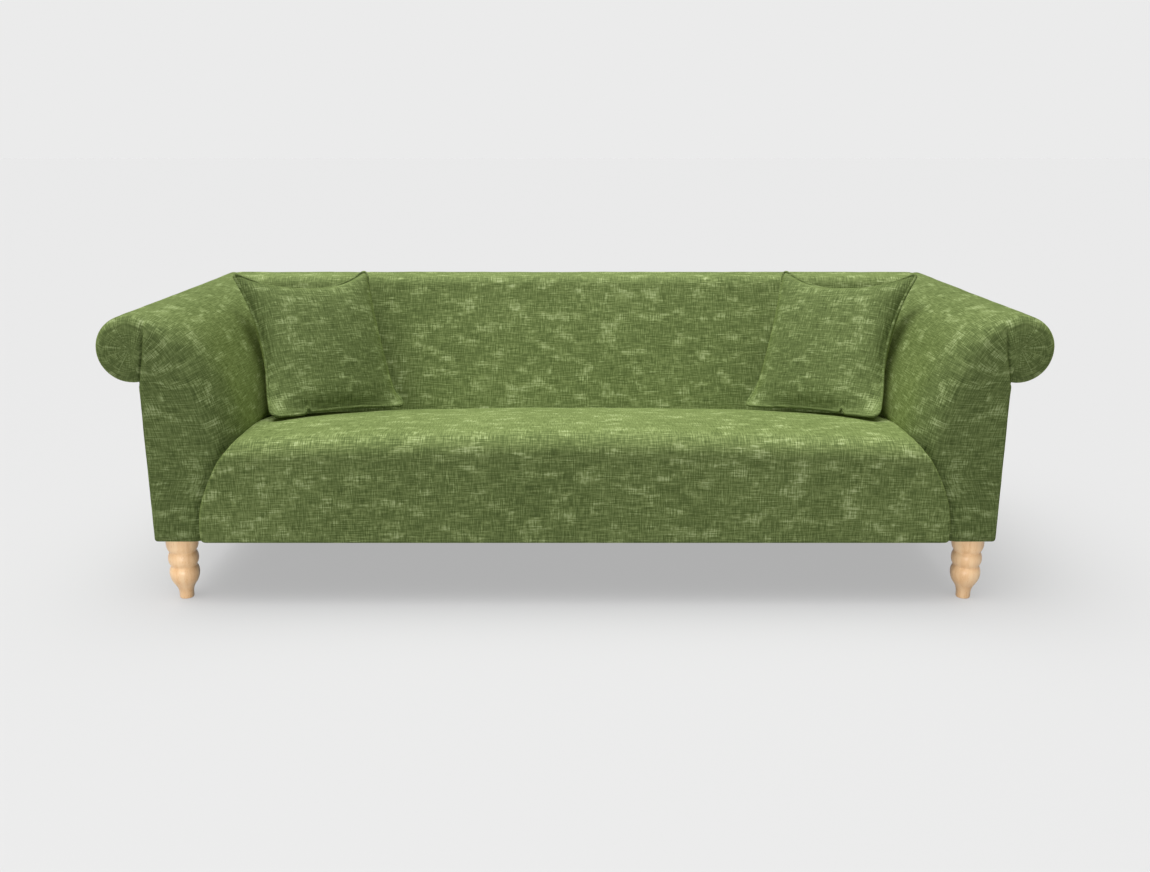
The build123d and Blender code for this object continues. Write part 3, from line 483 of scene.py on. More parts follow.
# %% Rounded front edge
UNDER_WRAP = -0.0004  # the cloth goes on under the frame
UNDER_PANEL = 0.004  # the arm drops this far where the outside panel lies on it
WRAP_END = WRAP + 0.002
EDGE_TRAVEL = 1.3  # cloth used on the way round the edge, for each metre of depth
EDGE_STOPS = (0, 0.0005, 0.002, 0.005, 0.0095, 0.0155, 0.0185, 0.0225, 0.029)
EDGE_STOPS += (0.036, 0.046, 0.058, 0.072, 0.088, 0.105, 0.122)


def drawn_in(radius, ahead, length):
    """How far a rounded edge of that depth has drawn the outline in, so far behind the front."""
    left = max(1 - ahead / length, 0)
    return radius * (1 - math.sqrt(1 - left**2))


for ahead in EDGE_STOPS:
    side = drawn_in(OUTER_ROUND, ahead, OUTER_ROUND) + (UNDER_PANEL if ahead > WRAP_END else -WRAP_PROUD)
    lift = min(FRONT_HEM * max(1 - ahead / FRONT_ROUND, 0), UNDER_WRAP)
    inner = drawn_in(INNER_IN, ahead, INNER_BACK)
    pad = drawn_in(FRONT_ROUND, ahead, FRONT_ROUND)
    put_ring(arm_section(ARM_FRONT + ahead, pad, side, lift, inner), ARM_FRONT + ahead, ahead * EDGE_TRAVEL)
print("with the rounded edge:", len(arm_rings), "rings")

# %% Long run and mitred corner
RUN_RINGS = 46
REAR_Y = 0.25  # from here on the arm's outline stays the same
MITRE_ROUND = 0.007
MITRE_STOPS = (0.012, 0.008, 0.0045, 0.002, 0.0005)  # distances from the corner's seam
CORNER_TRAVEL, CORNER_GAP = 0.9, 0.001


def mitred(pinch):
    """The arm's outline at the corner, pinched towards the seam."""
    return arm_section(REAR_Y, pinch, UNDER_PANEL + pinch * 0.5, UNDER_WRAP, pinch)


run_start = ARM_FRONT + INNER_BACK
corner_y = ROLL_Y + mitred(0.0)[:, 0] - ROLL_X
for f in np.linspace(0, 1, RUN_RINGS + 2)[1:-1]:
    y = run_start + (corner_y - MITRE_STOPS[0] - run_start) * f
    outline = arm_section(float(run_start + (REAR_Y - run_start) * f), 0.0, UNDER_PANEL, UNDER_WRAP)
    put_ring(outline, y, INNER_BACK * EDGE_TRAVEL + y - run_start)
for left in MITRE_STOPS:
    pinch = MITRE_ROUND - math.sqrt(MITRE_ROUND**2 - max(MITRE_ROUND - left, 0) ** 2)
    put_ring(mitred(pinch), corner_y - left, INNER_BACK * EDGE_TRAVEL + corner_y - left - run_start)
for t in (0.4, 1.0):
    outline = mitred(MITRE_ROUND) * (1 - t) + arm_spine * t
    put_ring(outline, ROLL_Y + outline[:, 0] - ROLL_X - CORNER_GAP, CORNER_TRAVEL)
arm_rings, arm_along = np.array(arm_rings), np.array(arm_along)
print("whole arm:", len(arm_rings), "rings")

# %% [markdown]
# ### The cloth on the arm's front
# The front is not a piece of its own: the cloth comes round from the inside face. Its level threads
# stay level down the column, and turn with the outline round the scroll. So the cloth coordinates
# there are a blend of two, and the only break is at the scroll's seam.

# %% Cloth on the arm's front
LEVEL_TOP, LEVEL_FADE = 0.52, 0.12


def front_cloth(front, along, girth):
    """Cloth coordinates on the flat front's rings. girth is each point's place round the arm."""
    turning = np.stack([along, np.broadcast_to(girth, front.shape[:2])], 2)
    scroll_from = HEAD + OUT_COUNT
    crown_from = scroll_from + SCROLL_COUNT
    edge_x, edge_z, edge_girth = (v[crown_from:][::-1] for v in (front[-1, :, 0], front[-1, :, 2], girth))
    height = front[:, :, 2]
    across = np.interp(height, edge_z, edge_x) - front[:, :, 0]
    level = np.stack([across, np.interp(height, edge_z, edge_girth)], 2)
    weight = np.clip((height - LEVEL_TOP) / LEVEL_FADE, 0, 1)
    weight[:, scroll_from:crown_from] = 1.0
    weight[:, :scroll_from] = 0.0
    weight = (weight * weight * (3 - 2 * weight))[:, :, None]
    return level * (1 - weight) + turning * weight


middle = arm_rings[len(arm_rings) // 2]
girth = np.cumsum(np.linalg.norm(np.roll(middle, -1, axis=0) - middle, axis=1))
girth = np.concatenate([[0], girth[:-1]])
front_rings = slice(0, FRONT_RINGS + 1)
on_front = front_cloth(arm_rings[front_rings], arm_along[front_rings], girth)
front_patch = (FRONT_RINGS, HEAD + OUT_COUNT - 1, on_front)
print("cloth round the arm:", round(girth[-1], 3), "m")

# %% [markdown]
# ### The scroll's seam
# The seam on the scroll is a shallow groove with the cloth puffed a little on both sides. It is
# pressed in after the skin is made, because a seam is pulled into the padding in the same way. The
# cloth is pulled in once more where the seat's side meets the front of the arm.

# %% Seam, and both arms
SEAM_LOW, SEAM_HIGH, SEAM_BOW = np.array((1.0595, 0.573)), np.array((1.036, 0.742)), 0.004
SEAM_DEEP, SEAM_WIDE, SEAM_FADE = 0.0075, 0.0024, 0.012
SEAM_PUFF, PUFF_AT, PUFF_WIDE = 0.0012, 0.013, 0.009
PULL_DEEP, PULL_WIDE, PULL_BACK = 0.006, 0.011, 0.02
PULL_TOP, PULL_FADE = 0.445, 0.02


def press_scroll_seam(mesh):
    """Presses the seam and the line beside the seat into the arm's front."""
    points = vertex_values(mesh, "co")
    spot = np.abs(points[:, [0, 2]])
    run = SEAM_HIGH - SEAM_LOW
    t = np.clip(((spot - SEAM_LOW) @ run) / (run @ run), 0, 1)
    near = SEAM_LOW + t[:, None] * run - (SEAM_BOW * np.sin(np.pi * t))[:, None] * (1, 0)
    away = np.linalg.norm(spot - near, axis=1)
    front = np.clip((ARM_FRONT + FRONT_ROUND - points[:, 1]) / SEAM_FADE, 0, 1)
    groove = SEAM_DEEP * np.exp(-((away / SEAM_WIDE) ** 2))
    puffed = SEAM_PUFF * np.exp(-(((away - PUFF_AT) / PUFF_WIDE) ** 2))
    points[:, 1] += (groove - puffed) * front
    beside = spot[:, 0] - seat_side(spot[:, 1])
    low = np.clip((PULL_TOP - spot[:, 1]) / PULL_FADE, 0, 1) * (points[:, 1] < ARM_FRONT + PULL_BACK)
    points[:, 1] += PULL_DEEP * np.exp(-((beside / PULL_WIDE) ** 2)) * low
    put_points(mesh, points)


for name, side in (("left", -1), ("right", 1)):
    arm = skin(f"{name}_arm", arm_rings * np.array((side, 1, 1)), arm_along, front_patch)
    press_scroll_seam(arm.data)
    stands_for = f"{name}_inside_arm_cover", f"{name}_arm_foam"
    # the arms take the darker velvet: its colour is painted shade
    finish_cloth(arm, "sofa", *stands_for, fill=0.9, seed=2.0 + side, cloth=painted_shade_velvet)

# %% [markdown]
# ## The back
# The back is one long pad with the same scroll behind it. Its ends follow the arms: on the scroll they
# meet in a mitred seam, and inside they run on a little way into the arm, as the cloth is pulled
# through there. It is a ring skin like the arm, with rings from side to side.

# %% Back outline
BACK_OUT, BACK_ROLL, BACK_TOP, BACK_EDGE, BACK_FACE, BACK_UNDER = 16, 44, 12, 14, 40, 6
BACK_LOW = 0.305  # the inside face ends here, below the seat
SOLE_WIDE = 0.05  # cloth turned under the rear rail


def back_section(pad=0.0):
    """The back's outline as y and z: outside, scroll, flat top, rounded edge, leaning face, underside."""
    r, edge = ROLL - pad, BACK_ROUND - pad
    y_out, foot = OUTER_Y - UNDER_PANEL - pad * 0.5, BASE + UNDER_WRAP
    crease = ROLL_Z - math.sqrt(r**2 - (ROLL_Y - y_out) ** 2)
    edge_y, edge_z = ROLL_Y - BACK_FLAT, HEIGHT - BACK_ROUND
    start = math.atan2(crease - ROLL_Z, y_out - ROLL_Y)
    face = np.linspace(edge_z + edge * math.sin(LEAN), BACK_LOW, BACK_FACE)
    sole = (OUTER_Y - SOLE_WIDE, foot)
    return np.concatenate(
        [
            line((y_out, foot), (y_out, crease), BACK_OUT),
            arc(ROLL_Y, ROLL_Z, r, start, math.pi / 2, BACK_ROLL, False),
            line((ROLL_Y, ROLL_Z + r), (edge_y, edge_z + edge), BACK_TOP),
            arc(edge_y, edge_z, edge, math.pi / 2, math.pi - LEAN, BACK_EDGE, False),
            np.stack([[lean_y(z, pad) for z in face], face], 1),
            line((lean_y(BACK_LOW, pad), BACK_LOW), sole, BACK_UNDER)[1:],
            line(sole, (y_out, foot), BACK_UNDER),
        ]
    )


print("back outline:", len(back_section()), "points")

# %% Back
BACK_RINGS = 150
INTO_ARM, PAST_MITRE, CORE_X = 0.010, 0.25, 1.0
BELLY, BELLY_LOW, BELLY_TALL = 0.005, 0.33, 0.40  # the pad swells a little in the middle


def back_reach(section):
    """How far the back runs to the side at each point of its outline."""
    y, z = section[:, 0], section[:, 1]
    mitre = ROLL_X + y - ROLL_Y
    crown = ROLL_X - np.sqrt(np.maximum(CROWN**2 - np.minimum(z - CROWN_Z, CROWN) ** 2, 0))
    face = FACE_X - np.sqrt(FACE**2 - (z - FACE_Z) ** 2)
    shoulder = CROWN_Z + CROWN * math.cos(TURN)
    inner = np.where(z > shoulder, crown, face) + INTO_ARM
    first_top = BACK_OUT + BACK_ROLL
    reach = np.where(np.arange(len(y)) < first_top, mitre, inner)
    reach[first_top : first_top + BACK_TOP] = mitre[first_top]
    return np.minimum(reach, mitre + PAST_MITRE)


def add_end(rings, along, end, ring):
    """Adds a ring beyond the first one (end 0) or the last one (end -1)."""
    place = 0 if end == 0 else len(rings)
    rings.insert(place, ring)
    along.insert(place, ring[:, 0])


plain_back = back_section()
reach = back_reach(plain_back)
on_face = (plain_back[:, 0] < ROLL_Y - BACK_FLAT) & (plain_back[:, 1] > BACK_LOW)
swell = np.where(on_face, np.sin(np.pi * np.clip((plain_back[:, 1] - BELLY_LOW) / BELLY_TALL, 0, 1)), 0.0)
back_rings, back_along = [], []
for u in np.linspace(-1, 1, BACK_RINGS):
    outline = plain_back.copy()
    outline[:, 0] -= BELLY * swell * (1 - u**4)
    if abs(u) == 1:
        outline = back_section(MITRE_ROUND)
    back_rings.append(np.stack([u * reach, outline[:, 0], outline[:, 1]], 1))
    back_along.append(u * reach)
for end in (0, -1):
    core = back_rings[end].copy()
    core[:, 1:] = core[:, 1:].mean(axis=0)
    core[:, 0] = np.sign(core[:, 0]) * CORE_X
    add_end(back_rings, back_along, end, core)
back = skin("inside_back", np.array(back_rings), np.array(back_along))
finish_cloth(back, "sofa", "inside_back_cover", "back_foam", fill=0.85, uneven=0.0011, seed=5.0)

# %% [markdown]
# ## The seat
# One bench pad with a bull-nosed front, a little proud of the arms. A box with rounded edges would
# do for a plain cushion, but this one is domed and narrower towards its top. So its side view is drawn
# once and repeated across the width. At both ends the edge rolls back into the arm.

# %% Seat's side view
HEM_ROUND, HEM_LOW = 0.006, 0.0025  # the front's lower edge, a little below the frame
HOLLOW = BASE + 0.13  # the underside inside the frame
HOLLOW_FRONT, HOLLOW_REAR, SOLE_REAR = -0.40, 0.10, -0.43
INTO_BACK, REAR_DROP = 0.02, 0.03
hem_z, hem_y = BASE - HEM_LOW, HEM_ROUND - HALF_DEPTH
seat_rear = lean_y(SEAT_REAR) + INTO_BACK
nose_y, nose_z = NOSE - HALF_DEPTH, SEAT_FRONT - NOSE
profile = np.concatenate(
    [
        line((HOLLOW_FRONT, HOLLOW), (SOLE_REAR, BASE + 0.004), 6),
        line((SOLE_REAR, BASE + 0.001), (hem_y, hem_z), 8),
        arc(hem_y, hem_z + HEM_ROUND, HEM_ROUND, -math.pi / 2, -math.pi, 6, False),
        line((-HALF_DEPTH, hem_z + HEM_ROUND), (-HALF_DEPTH, nose_z), 34),
        arc(nose_y, nose_z, NOSE, math.pi, math.pi / 2, 16, False),
        [(y, float(seat_top(y))) for y in np.linspace(nose_y, seat_rear, 64)],
        line((seat_rear, SEAT_REAR - REAR_DROP), (HOLLOW_REAR, HOLLOW), 6),
        line((HOLLOW_REAR, HOLLOW), (HOLLOW_FRONT, HOLLOW), 10),
    ]
)
forward = np.roll(profile, -1, axis=0) - np.roll(profile, 1, axis=0)
outward = np.stack([-forward[:, 1], forward[:, 0]], 1)
outward /= np.linalg.norm(outward, axis=1)[:, None]
print("seat's side view:", len(profile), "points")

# %% Seat
SIDE_ROUND, SIDE_EASE, WALL_IN = 0.011, 0.02, 0.022  # the rolled edge at both ends
END_STOPS = np.array([0.0, 0.0004, 0.0015, 0.003, 0.0055, 0.009, 0.014, 0.022])  # metres from an end
END_SCALE, STATIONS, STATIONS_TO = 0.9, 112, 0.96
CORE_SHRINK, CORE_Y, CORE_Z = 0.3, -0.12, 0.30  # rings that close the ends, inside the arms
width = seat_side(profile[:, 1] - SIDE_EASE)
height_share = np.clip((profile[:, 1] - BASE) / (SEAT_REAR - BASE), 0, 1)
near_end = 1 - END_STOPS / END_SCALE
seat_rings, seat_along = [], []
for u in np.concatenate([-near_end, np.linspace(-STATIONS_TO, STATIONS_TO, STATIONS), near_end[::-1]]):
    x = u * width
    room = np.maximum(width - np.abs(x), 0)
    roll = SIDE_ROUND - np.sqrt(SIDE_ROUND**2 - np.clip(SIDE_ROUND - room, 0, SIDE_ROUND) ** 2)
    sag = x**2 / (2 * SEAT_CROWN) * height_share
    y = profile[:, 0] - outward[:, 0] * roll
    z = profile[:, 1] - outward[:, 1] * roll - sag
    seat_rings.append(np.stack([x, y, z], 1))
    seat_along.append(x)
for end in (0, -1):
    wall = seat_rings[end].copy()
    wall[:, 1:] -= outward * WALL_IN
    add_end(seat_rings, seat_along, end, wall)
    core = wall.copy()
    core[:, 1] = core[:, 1] * CORE_SHRINK + CORE_Y
    core[:, 2] = (core[:, 2] - CORE_Z) * CORE_SHRINK + CORE_Z
    core[:, 0] = core[:, 0].mean()
    add_end(seat_rings, seat_along, end, core)
    add_end(seat_rings, seat_along, end, np.broadcast_to(core.mean(axis=0), core.shape))
seat = skin("bench_seat", np.array(seat_rings), np.array(seat_along))
finish_cloth(seat, "sofa", "seat_cover", "seat_foam", fill=0.9, uneven=0.0011, seed=7.0)

# %% [markdown]
# ## Outside panels
# The outsides of the arms and the back are flat cloth over board, sewn in last along the scroll,
# the front wrap and the rear corners. A plane with thickness would have sharp edges, so each is a
# shallow pad whose edges turn under, from two grids of points with a rim between them.

# %% Outside panels
PANEL_CELL, PANEL_ROWS = 0.012, 60
PANEL_STOPS = np.array([0, 0.0008, 0.002, 0.0035, 0.006])  # metres from an edge, where it turns under
PANEL_RISE, PANEL_TURN, PANEL_SUNK, PANEL_REAR = 0.0035, 0.006, 0.003, 0.0036
PANEL_GAP = 0.0015  # between a panel and the rear corner


def stations(count, size):
    """Places from 0 to 1 that crowd at both ends, where the edge turns under."""
    ends = PANEL_STOPS / size
    inner = np.linspace(PANEL_CELL / size, 1 - PANEL_CELL / size, count)
    return np.concatenate([ends, inner, (1 - ends)[::-1]])


def outside_panel(name, corner, across, up, out, stands_for):
    """A thin pad from a corner along two edges; out is the way that it faces."""
    corner, across, up, out = (np.array(v, float) for v in (corner, across, up, out))
    wide, tall = np.linalg.norm(across), np.linalg.norm(up)
    a_set = stations(max(12, int(wide / PANEL_CELL)), wide)
    b_set = stations(PANEL_ROWS, tall)
    bm = bmesh.new()
    uv_layer = bm.loops.layers.uv.new("cloth")
    front, rear = [], []
    for a in a_set:
        front.append([])
        rear.append([])
        for b in b_set:
            spot = corner + across * a + up * b
            edge = max(1 - min(a * wide, (1 - a) * wide, b * tall, (1 - b) * tall) / PANEL_TURN, 0)
            rise = PANEL_RISE - PANEL_RISE * edge**2 - PANEL_SUNK
            front[-1].append(bm.verts.new(spot + out * rise))
            rear[-1].append(bm.verts.new(spot - out * PANEL_REAR))
    last_a, last_b = len(a_set) - 1, len(b_set) - 1
    for i in range(last_a):
        for j in range(last_b):
            for grid, way in ((front, 1), (rear, -1)):
                corners = [grid[i][j], grid[i + 1][j], grid[i + 1][j + 1], grid[i][j + 1]]
                for loop in bm.faces.new(corners[::way]).loops:
                    p = np.array(loop.vert.co) - corner
                    loop[uv_layer].uv = (p @ across / wide, p @ up / tall)
    rim = [(i, 0) for i in range(last_a)] + [(last_a, j) for j in range(last_b)]
    rim += [(i, last_b) for i in range(last_a, 0, -1)] + [(0, j) for j in range(last_b, 0, -1)]
    for (i, j), (k, m) in zip(rim, rim[1:] + rim[:1]):
        bm.faces.new((front[i][j], rear[i][j], rear[k][m], front[k][m]))
    bmesh.ops.recalc_face_normals(bm, faces=bm.faces)
    piece = new_piece(name, bm)
    piece.data.shade_smooth()
    return finish_cloth(piece, "sofa", stands_for, fill=1.0, uneven=0.0004, seed=11.0)


panel_up = (0, 0, PANEL_TOP - BASE)
panel_deep = OUTER_Y - PANEL_GAP - ARM_FRONT - WRAP
panel_wide = 2 * (OUTER_X - PANEL_GAP)
for name, side in (("left", -1), ("right", 1)):
    corner = (side * OUTER_X, ARM_FRONT + WRAP, BASE)
    panel = f"{name}_outside_arm"
    outside_panel(panel, corner, (0, panel_deep, 0), panel_up, (side, 0, 0), f"{panel}_cover")
corner = (PANEL_GAP - OUTER_X, OUTER_Y, BASE)
outside_panel("outside_back", corner, (panel_wide, 0, 0), panel_up, (0, 1, 0), "outside_back_cover")

# %% [markdown]
# ## Scatter cushions
# A knife-edge cushion is two squares of cloth sewn together and overfilled. Blown up, its sides pull
# in between the corners and the corners stand out as ears. No formula gives that as well as the
# cloth simulation does: two flat panels, sewn at the rim, with air pressure in place of the filling.
# The rim is held where the sewn cushion has it, and the cut squares are the cloth's rest shape, so the
# spare cloth gathers in the faces. The result is then brought to the cushion's real size and laid in
# its corner of the sofa.

# %% Rim of the cushion
CUSHION_HALF, CUSHION_RISE, PIPING = 0.211, 0.070, 0.004
SEAM_IN = 0.0035
SEW = CUSHION_HALF - SEAM_IN
DRAW_ARM, DRAW_TOP, DRAW_FRONT, DRAW_LOW = 0.042, 0.048, 0.018, 0.006  # each side's dip between the ears
EAR_ARM, EAR_FRONT = 0.004, 0.016  # how far the upper ears stand up
EAR_IN = 0.012  # the lower front ear is drawn in
EAR_ROUND = 0.020


def rounded(a, b):
    """The same point of the square once its corners are rounded."""
    start = 1 - EAR_ROUND / SEW
    p, q = (max(abs(v) - start, 0) / (1 - start) for v in (a, b))
    p, q = p * math.sqrt(1 - q * q / 2), q * math.sqrt(1 - p * p / 2)
    return tuple(math.copysign(start + (1 - start) * r, v) if r else v for r, v in ((p, a), (q, b)))


def rim_place(a, b):
    """Where a point of the square lies once the sides have drawn in."""
    a, b = rounded(a, b)
    across = (DRAW_ARM if a < 0 else DRAW_FRONT) * abs(a) ** 3 * (1 - b * b)
    up = (DRAW_LOW if b < 0 else DRAW_TOP) * abs(b) ** 3 * (1 - a * a)
    ear = (EAR_ARM if a < 0 else EAR_FRONT) * max(b, 0) ** 3 * abs(a) ** 3
    inward = EAR_IN * max(-b, 0) ** 3 * max(a, 0) ** 3
    return a * SEW - math.copysign(across, a) - inward, b * SEW - math.copysign(up, b) + ear


print("upper front ear at", [round(v, 3) for v in rim_place(1, 1)], "m")

# %% Cushion blank
PANEL_CELLS = 44
LENS, CUT_LENS = 0.045, 0.002  # first rise of the panels, and of the cut squares
CLOTH_EASE, REAR_CLOTH = 1.1, 0.9  # the rear panel is cut from another place of the cloth


def cushion_blank():
    """Two square panels that share their rim. Gives the mesh, the rim's points and the cut squares."""
    count = PANEL_CELLS
    place = np.linspace(-1, 1, count + 1)
    bm = bmesh.new()
    uv_layer = bm.loops.layers.uv.new("cloth")
    creases = bm.edges.layers.float.new("crease_edge")
    sheets, cut = [], []
    for way in (1, -1):
        sheet = {}
        for i, a in enumerate(place):
            for j, b in enumerate(place):
                if way < 0 and (i in (0, count) or j in (0, count)):
                    sheet[i, j] = sheets[0][i, j]
                    continue
                lens = max((1 - a * a) * (1 - b * b), 0)
                sheet[i, j] = bm.verts.new((*rim_place(a, b), way * LENS * lens**0.5))
                cut.append((a * SEW, b * SEW, way * CUT_LENS * lens))
        sheets.append(sheet)
        for i in range(count):
            for j in range(count):
                corners = [sheet[i, j], sheet[i + 1, j], sheet[i + 1, j + 1], sheet[i, j + 1]]
                for loop in bm.faces.new(corners[::way]).loops:
                    across, up = loop.vert.co.x * CLOTH_EASE, loop.vert.co.y * CLOTH_EASE
                    loop[uv_layer].uv = (across + (way < 0) * REAR_CLOTH, up)
    bm.verts.index_update()
    keys = [(i, count) for i in range(count)] + [(count, j) for j in range(count, 0, -1)]
    keys += [(i, 0) for i in range(count, 0, -1)] + [(0, j) for j in range(count)]
    rim = [sheets[0][key] for key in keys]
    for start, end in zip(rim, rim[1:] + rim[:1]):
        bm.edges.get((start, end))[creases] = 1.0
    rim = [vert.index for vert in rim]
    mesh = bpy.data.meshes.new("cushion_blank")
    bm.to_mesh(mesh)
    bm.free()
    return mesh, rim, np.array(cut)


blank_mesh, rim, cut_points = cushion_blank()
print("cushion blank:", len(blank_mesh.polygons), "faces,", len(rim), "points on the rim")

# %% Blow up the cushion
FILL_FRAMES, FILL_PRESSURE = 40, 7


def blown_up(mesh, rim, cut_points):
    """Points of the blank after a run of cloth with pressure. The cut squares are its rest shape."""
    blank = new_piece("cushion_blank", mesh.copy())
    blank.shape_key_add(name="drawn_in")
    squares = blank.shape_key_add(name="cut_squares")
    squares.data.foreach_set("co", cut_points.ravel())
    squares.value = 0.0
    blank.vertex_groups.new(name="sewn").add(rim, 1.0, "REPLACE")
    cloth = blank.modifiers.new("filling", "CLOTH")
    settings = cloth.settings
    settings.quality = 10
    settings.mass = 0.25
    settings.tension_stiffness = settings.compression_stiffness = 30
    settings.shear_stiffness = 8
    settings.bending_stiffness = 0.35
    settings.air_damping = 4
    settings.vertex_group_mass = "sewn"
    settings.rest_shape_key = squares
    settings.use_pressure = True
    settings.uniform_pressure_force = FILL_PRESSURE
    settings.effector_weights.gravity = 0
    cloth.collision_settings.use_collision = False
    cloth.point_cache.frame_start, cloth.point_cache.frame_end = 1, FILL_FRAMES
    for step in range(1, FILL_FRAMES + 1):
        scene.frame_set(step)
    filled = bpy.data.meshes.new_from_object(blank.evaluated_get(bpy.context.evaluated_depsgraph_get()))
    points = vertex_values(filled, "co")
    bpy.data.objects.remove(blank)
    bpy.data.meshes.remove(filled)
    scene.frame_set(1)
    return points


puffed = blown_up(blank_mesh, rim, cut_points)
print("filled cushion:", np.ptp(puffed, axis=0).round(3), "m")

# %% [markdown]
# ### To size, with its tuck
# The blown-up form is scaled so that its crown has the solid's rise. The filling has settled: the faces
# stay full up to the rim, the front falls gently to the seat and to the arm, the lower edge slides
# forward on the seat, and one tuck runs up from it near the arm. These are small, given moves of the points,
# because the simulation knows neither the seat nor the arm.

# %% Shape of the cushions
FULLNESS = 0.60  # under 1 the face stays full up to the rim
LOW_FULL = 0.06  # the lower half is this much fuller
PRESS_FROM = 0.45  # share of the half size where the pressed edges begin
FRONT_LOW, FRONT_SIDE = 1.0, 0.8  # the front panel falls gently to those two edges
FOOT, FOOT_DOWN = 0.050, 0.010  # the lower edge slides forward on the seat and down
SIDE, SIDE_OUT = 0.016, 0.012  # the edge at the arm, pressed forward and out
TUCK_AT, TUCK_WIDE, TUCK_UP, TUCK_IN = -0.50, 0.030, 0.014, 0.6
TUCK_FROM, TUCK_FADE = 0.84, 0.13  # the tuck is at the lower edge only
EASE_UP, EASE_AFTER, EASE_END, EASE_FADE = 0.004, 0.04, 0.6, 0.3  # past the tuck the edge lifts off the seat


def pressed(points):
    """How near each point is to the edge on the seat and to the edge at the arm, from 0 to 1."""
    return (np.clip((-PRESS_FROM - points[:, k] / SEW) / (1 - PRESS_FROM), 0, 1) ** 2 for k in (1, 0))


def cushion_form():
    """The cushion's points at their real size, in its own plane."""
    points = puffed.copy()
    lift = np.abs(points[:, 2]) / np.abs(points[:, 2]).max()
    low, beside = pressed(points)
    flatter = np.where(points[:, 2] > 0, FRONT_LOW * low + FRONT_SIDE * beside, 0.0)
    points[:, 2] = np.sign(points[:, 2]) * CUSHION_RISE * lift ** (FULLNESS + flatter)
    points[:, 2] *= 1 - LOW_FULL * cut_points[:, 1] / SEW
    return points


def settled(points):
    """Brings the lower edge forward and presses in the tuck."""
    points = points.copy()
    a, b = points[:, 0] / SEW, points[:, 1] / SEW
    low, beside = pressed(points)
    points += np.stack([-SIDE_OUT * beside, -FOOT_DOWN * low, FOOT * low + SIDE * beside], 1)
    edge = np.clip((-TUCK_FROM - b) / TUCK_FADE, 0, 1)
    fold = np.exp(-(((a - TUCK_AT) / TUCK_WIDE) ** 2)) * edge
    points[:, 2] -= (points[:, 2] - FOOT) * TUCK_IN * fold
    past = np.clip((a - TUCK_AT) / EASE_AFTER, 0, 1) * np.clip((EASE_END - a) / EASE_FADE, 0, 1)
    points[:, 1] += TUCK_UP * fold + EASE_UP * past * edge
    return points


form = cushion_form()
print("cushion at its real size:", np.ptp(form, axis=0).round(3), "m")

# %% Place of the cushions
CUSHION_SPOT = np.array((-0.728, 0.002, 0.5872))
YAW, TILT, CANT = math.radians(41.8), math.radians(28.0), math.radians(-4.3)


def cushion_place(points, mirror):
    """Lays points of the cushion's plane in the left corner of the sofa, or in the right one."""
    across = np.array((math.cos(YAW), math.sin(YAW), 0))
    out = np.array((math.sin(YAW) * math.cos(TILT), -math.cos(YAW) * math.cos(TILT), math.sin(TILT)))
    tall = np.cross(out, across)
    along = math.cos(CANT) * across + math.sin(CANT) * tall
    up = math.cos(CANT) * tall - math.sin(CANT) * across
    placed = CUSHION_SPOT + points[:, :1] * along + points[:, 1:2] * up + points[:, 2:] * out
    return placed * np.array((-1 if mirror else 1, 1, 1))


print("lowest point of the rim:", cushion_place(settled(form[rim]), False)[:, 2].min().round(3), "m")

# %% [markdown]
# ### Piping
# A cord wrapped in the same cloth is sewn into the rim. It could be a bevelled curve, but it follows a
# path, so Geometry Nodes make it: the rim becomes a curve and a small circle is swept along it. The
# tree has the cord's radius as its input, and its result is then made a plain mesh.


# %% Piping tree
def piping_tree():
    """The node tree, and the identifier of its input for the cord's radius."""
    tree = bpy.data.node_groups.new("piping", "GeometryNodeTree")
    tree.interface.new_socket("Geometry", in_out="INPUT", socket_type="NodeSocketGeometry")
    radius = tree.interface.new_socket("Cord radius", in_out="INPUT", socket_type="NodeSocketFloat")
    tree.interface.new_socket("Geometry", in_out="OUTPUT", socket_type="NodeSocketGeometry")
    inputs = add_node(tree, "NodeGroupInput").outputs
    curve = add_node(tree, "GeometryNodeMeshToCurve", {"Mesh": inputs["Geometry"]})
    circle = {"Resolution": 12, "Radius": inputs["Cord radius"]}
    cord = add_node(tree, "GeometryNodeCurvePrimitiveCircle", circle)
    tube = add_node(tree, "GeometryNodeCurveToMesh", {"Curve": curve, "Profile Curve": cord})
    smooth = add_node(tree, "GeometryNodeSetShadeSmooth", {0: tube})
    whole = add_node(tree, "GeometryNodeRealizeInstances", {0: smooth})
    # the piping takes the darker velvet: painted shade, as on the cushions
    dressed = add_node(tree, "GeometryNodeSetMaterial", {"Geometry": whole, "Material": painted_shade_velvet})
    add_node(tree, "NodeGroupOutput", {"Geometry": dressed})
    return tree, radius.identifier


piping_nodes, piping_radius = piping_tree()
print("piping tree:", len(piping_nodes.nodes), "nodes")

# %% Piping on its path
PIPING_STEPS, PIPING_OUT = 4, 1.012  # the cord lies a little outside the rim


def rim_curve(points):
    """The smooth line that the divided mesh makes of its rim: a cubic spline, four points at a time."""
    before, after, last = (np.roll(points, k, axis=0) for k in (1, -1, -2))
    steps = []
    for t in np.arange(PIPING_STEPS) / PIPING_STEPS:
        weights = (1 - t) ** 3, 3 * t**3 - 6 * t**2 + 4, 1 + 3 * t + 3 * t**2 - 3 * t**3, t**3
        steps.append(sum(w * p for w, p in zip(weights, (before, points, after, last))) / 6)
    return np.stack(steps, 1).reshape(-1, 3)


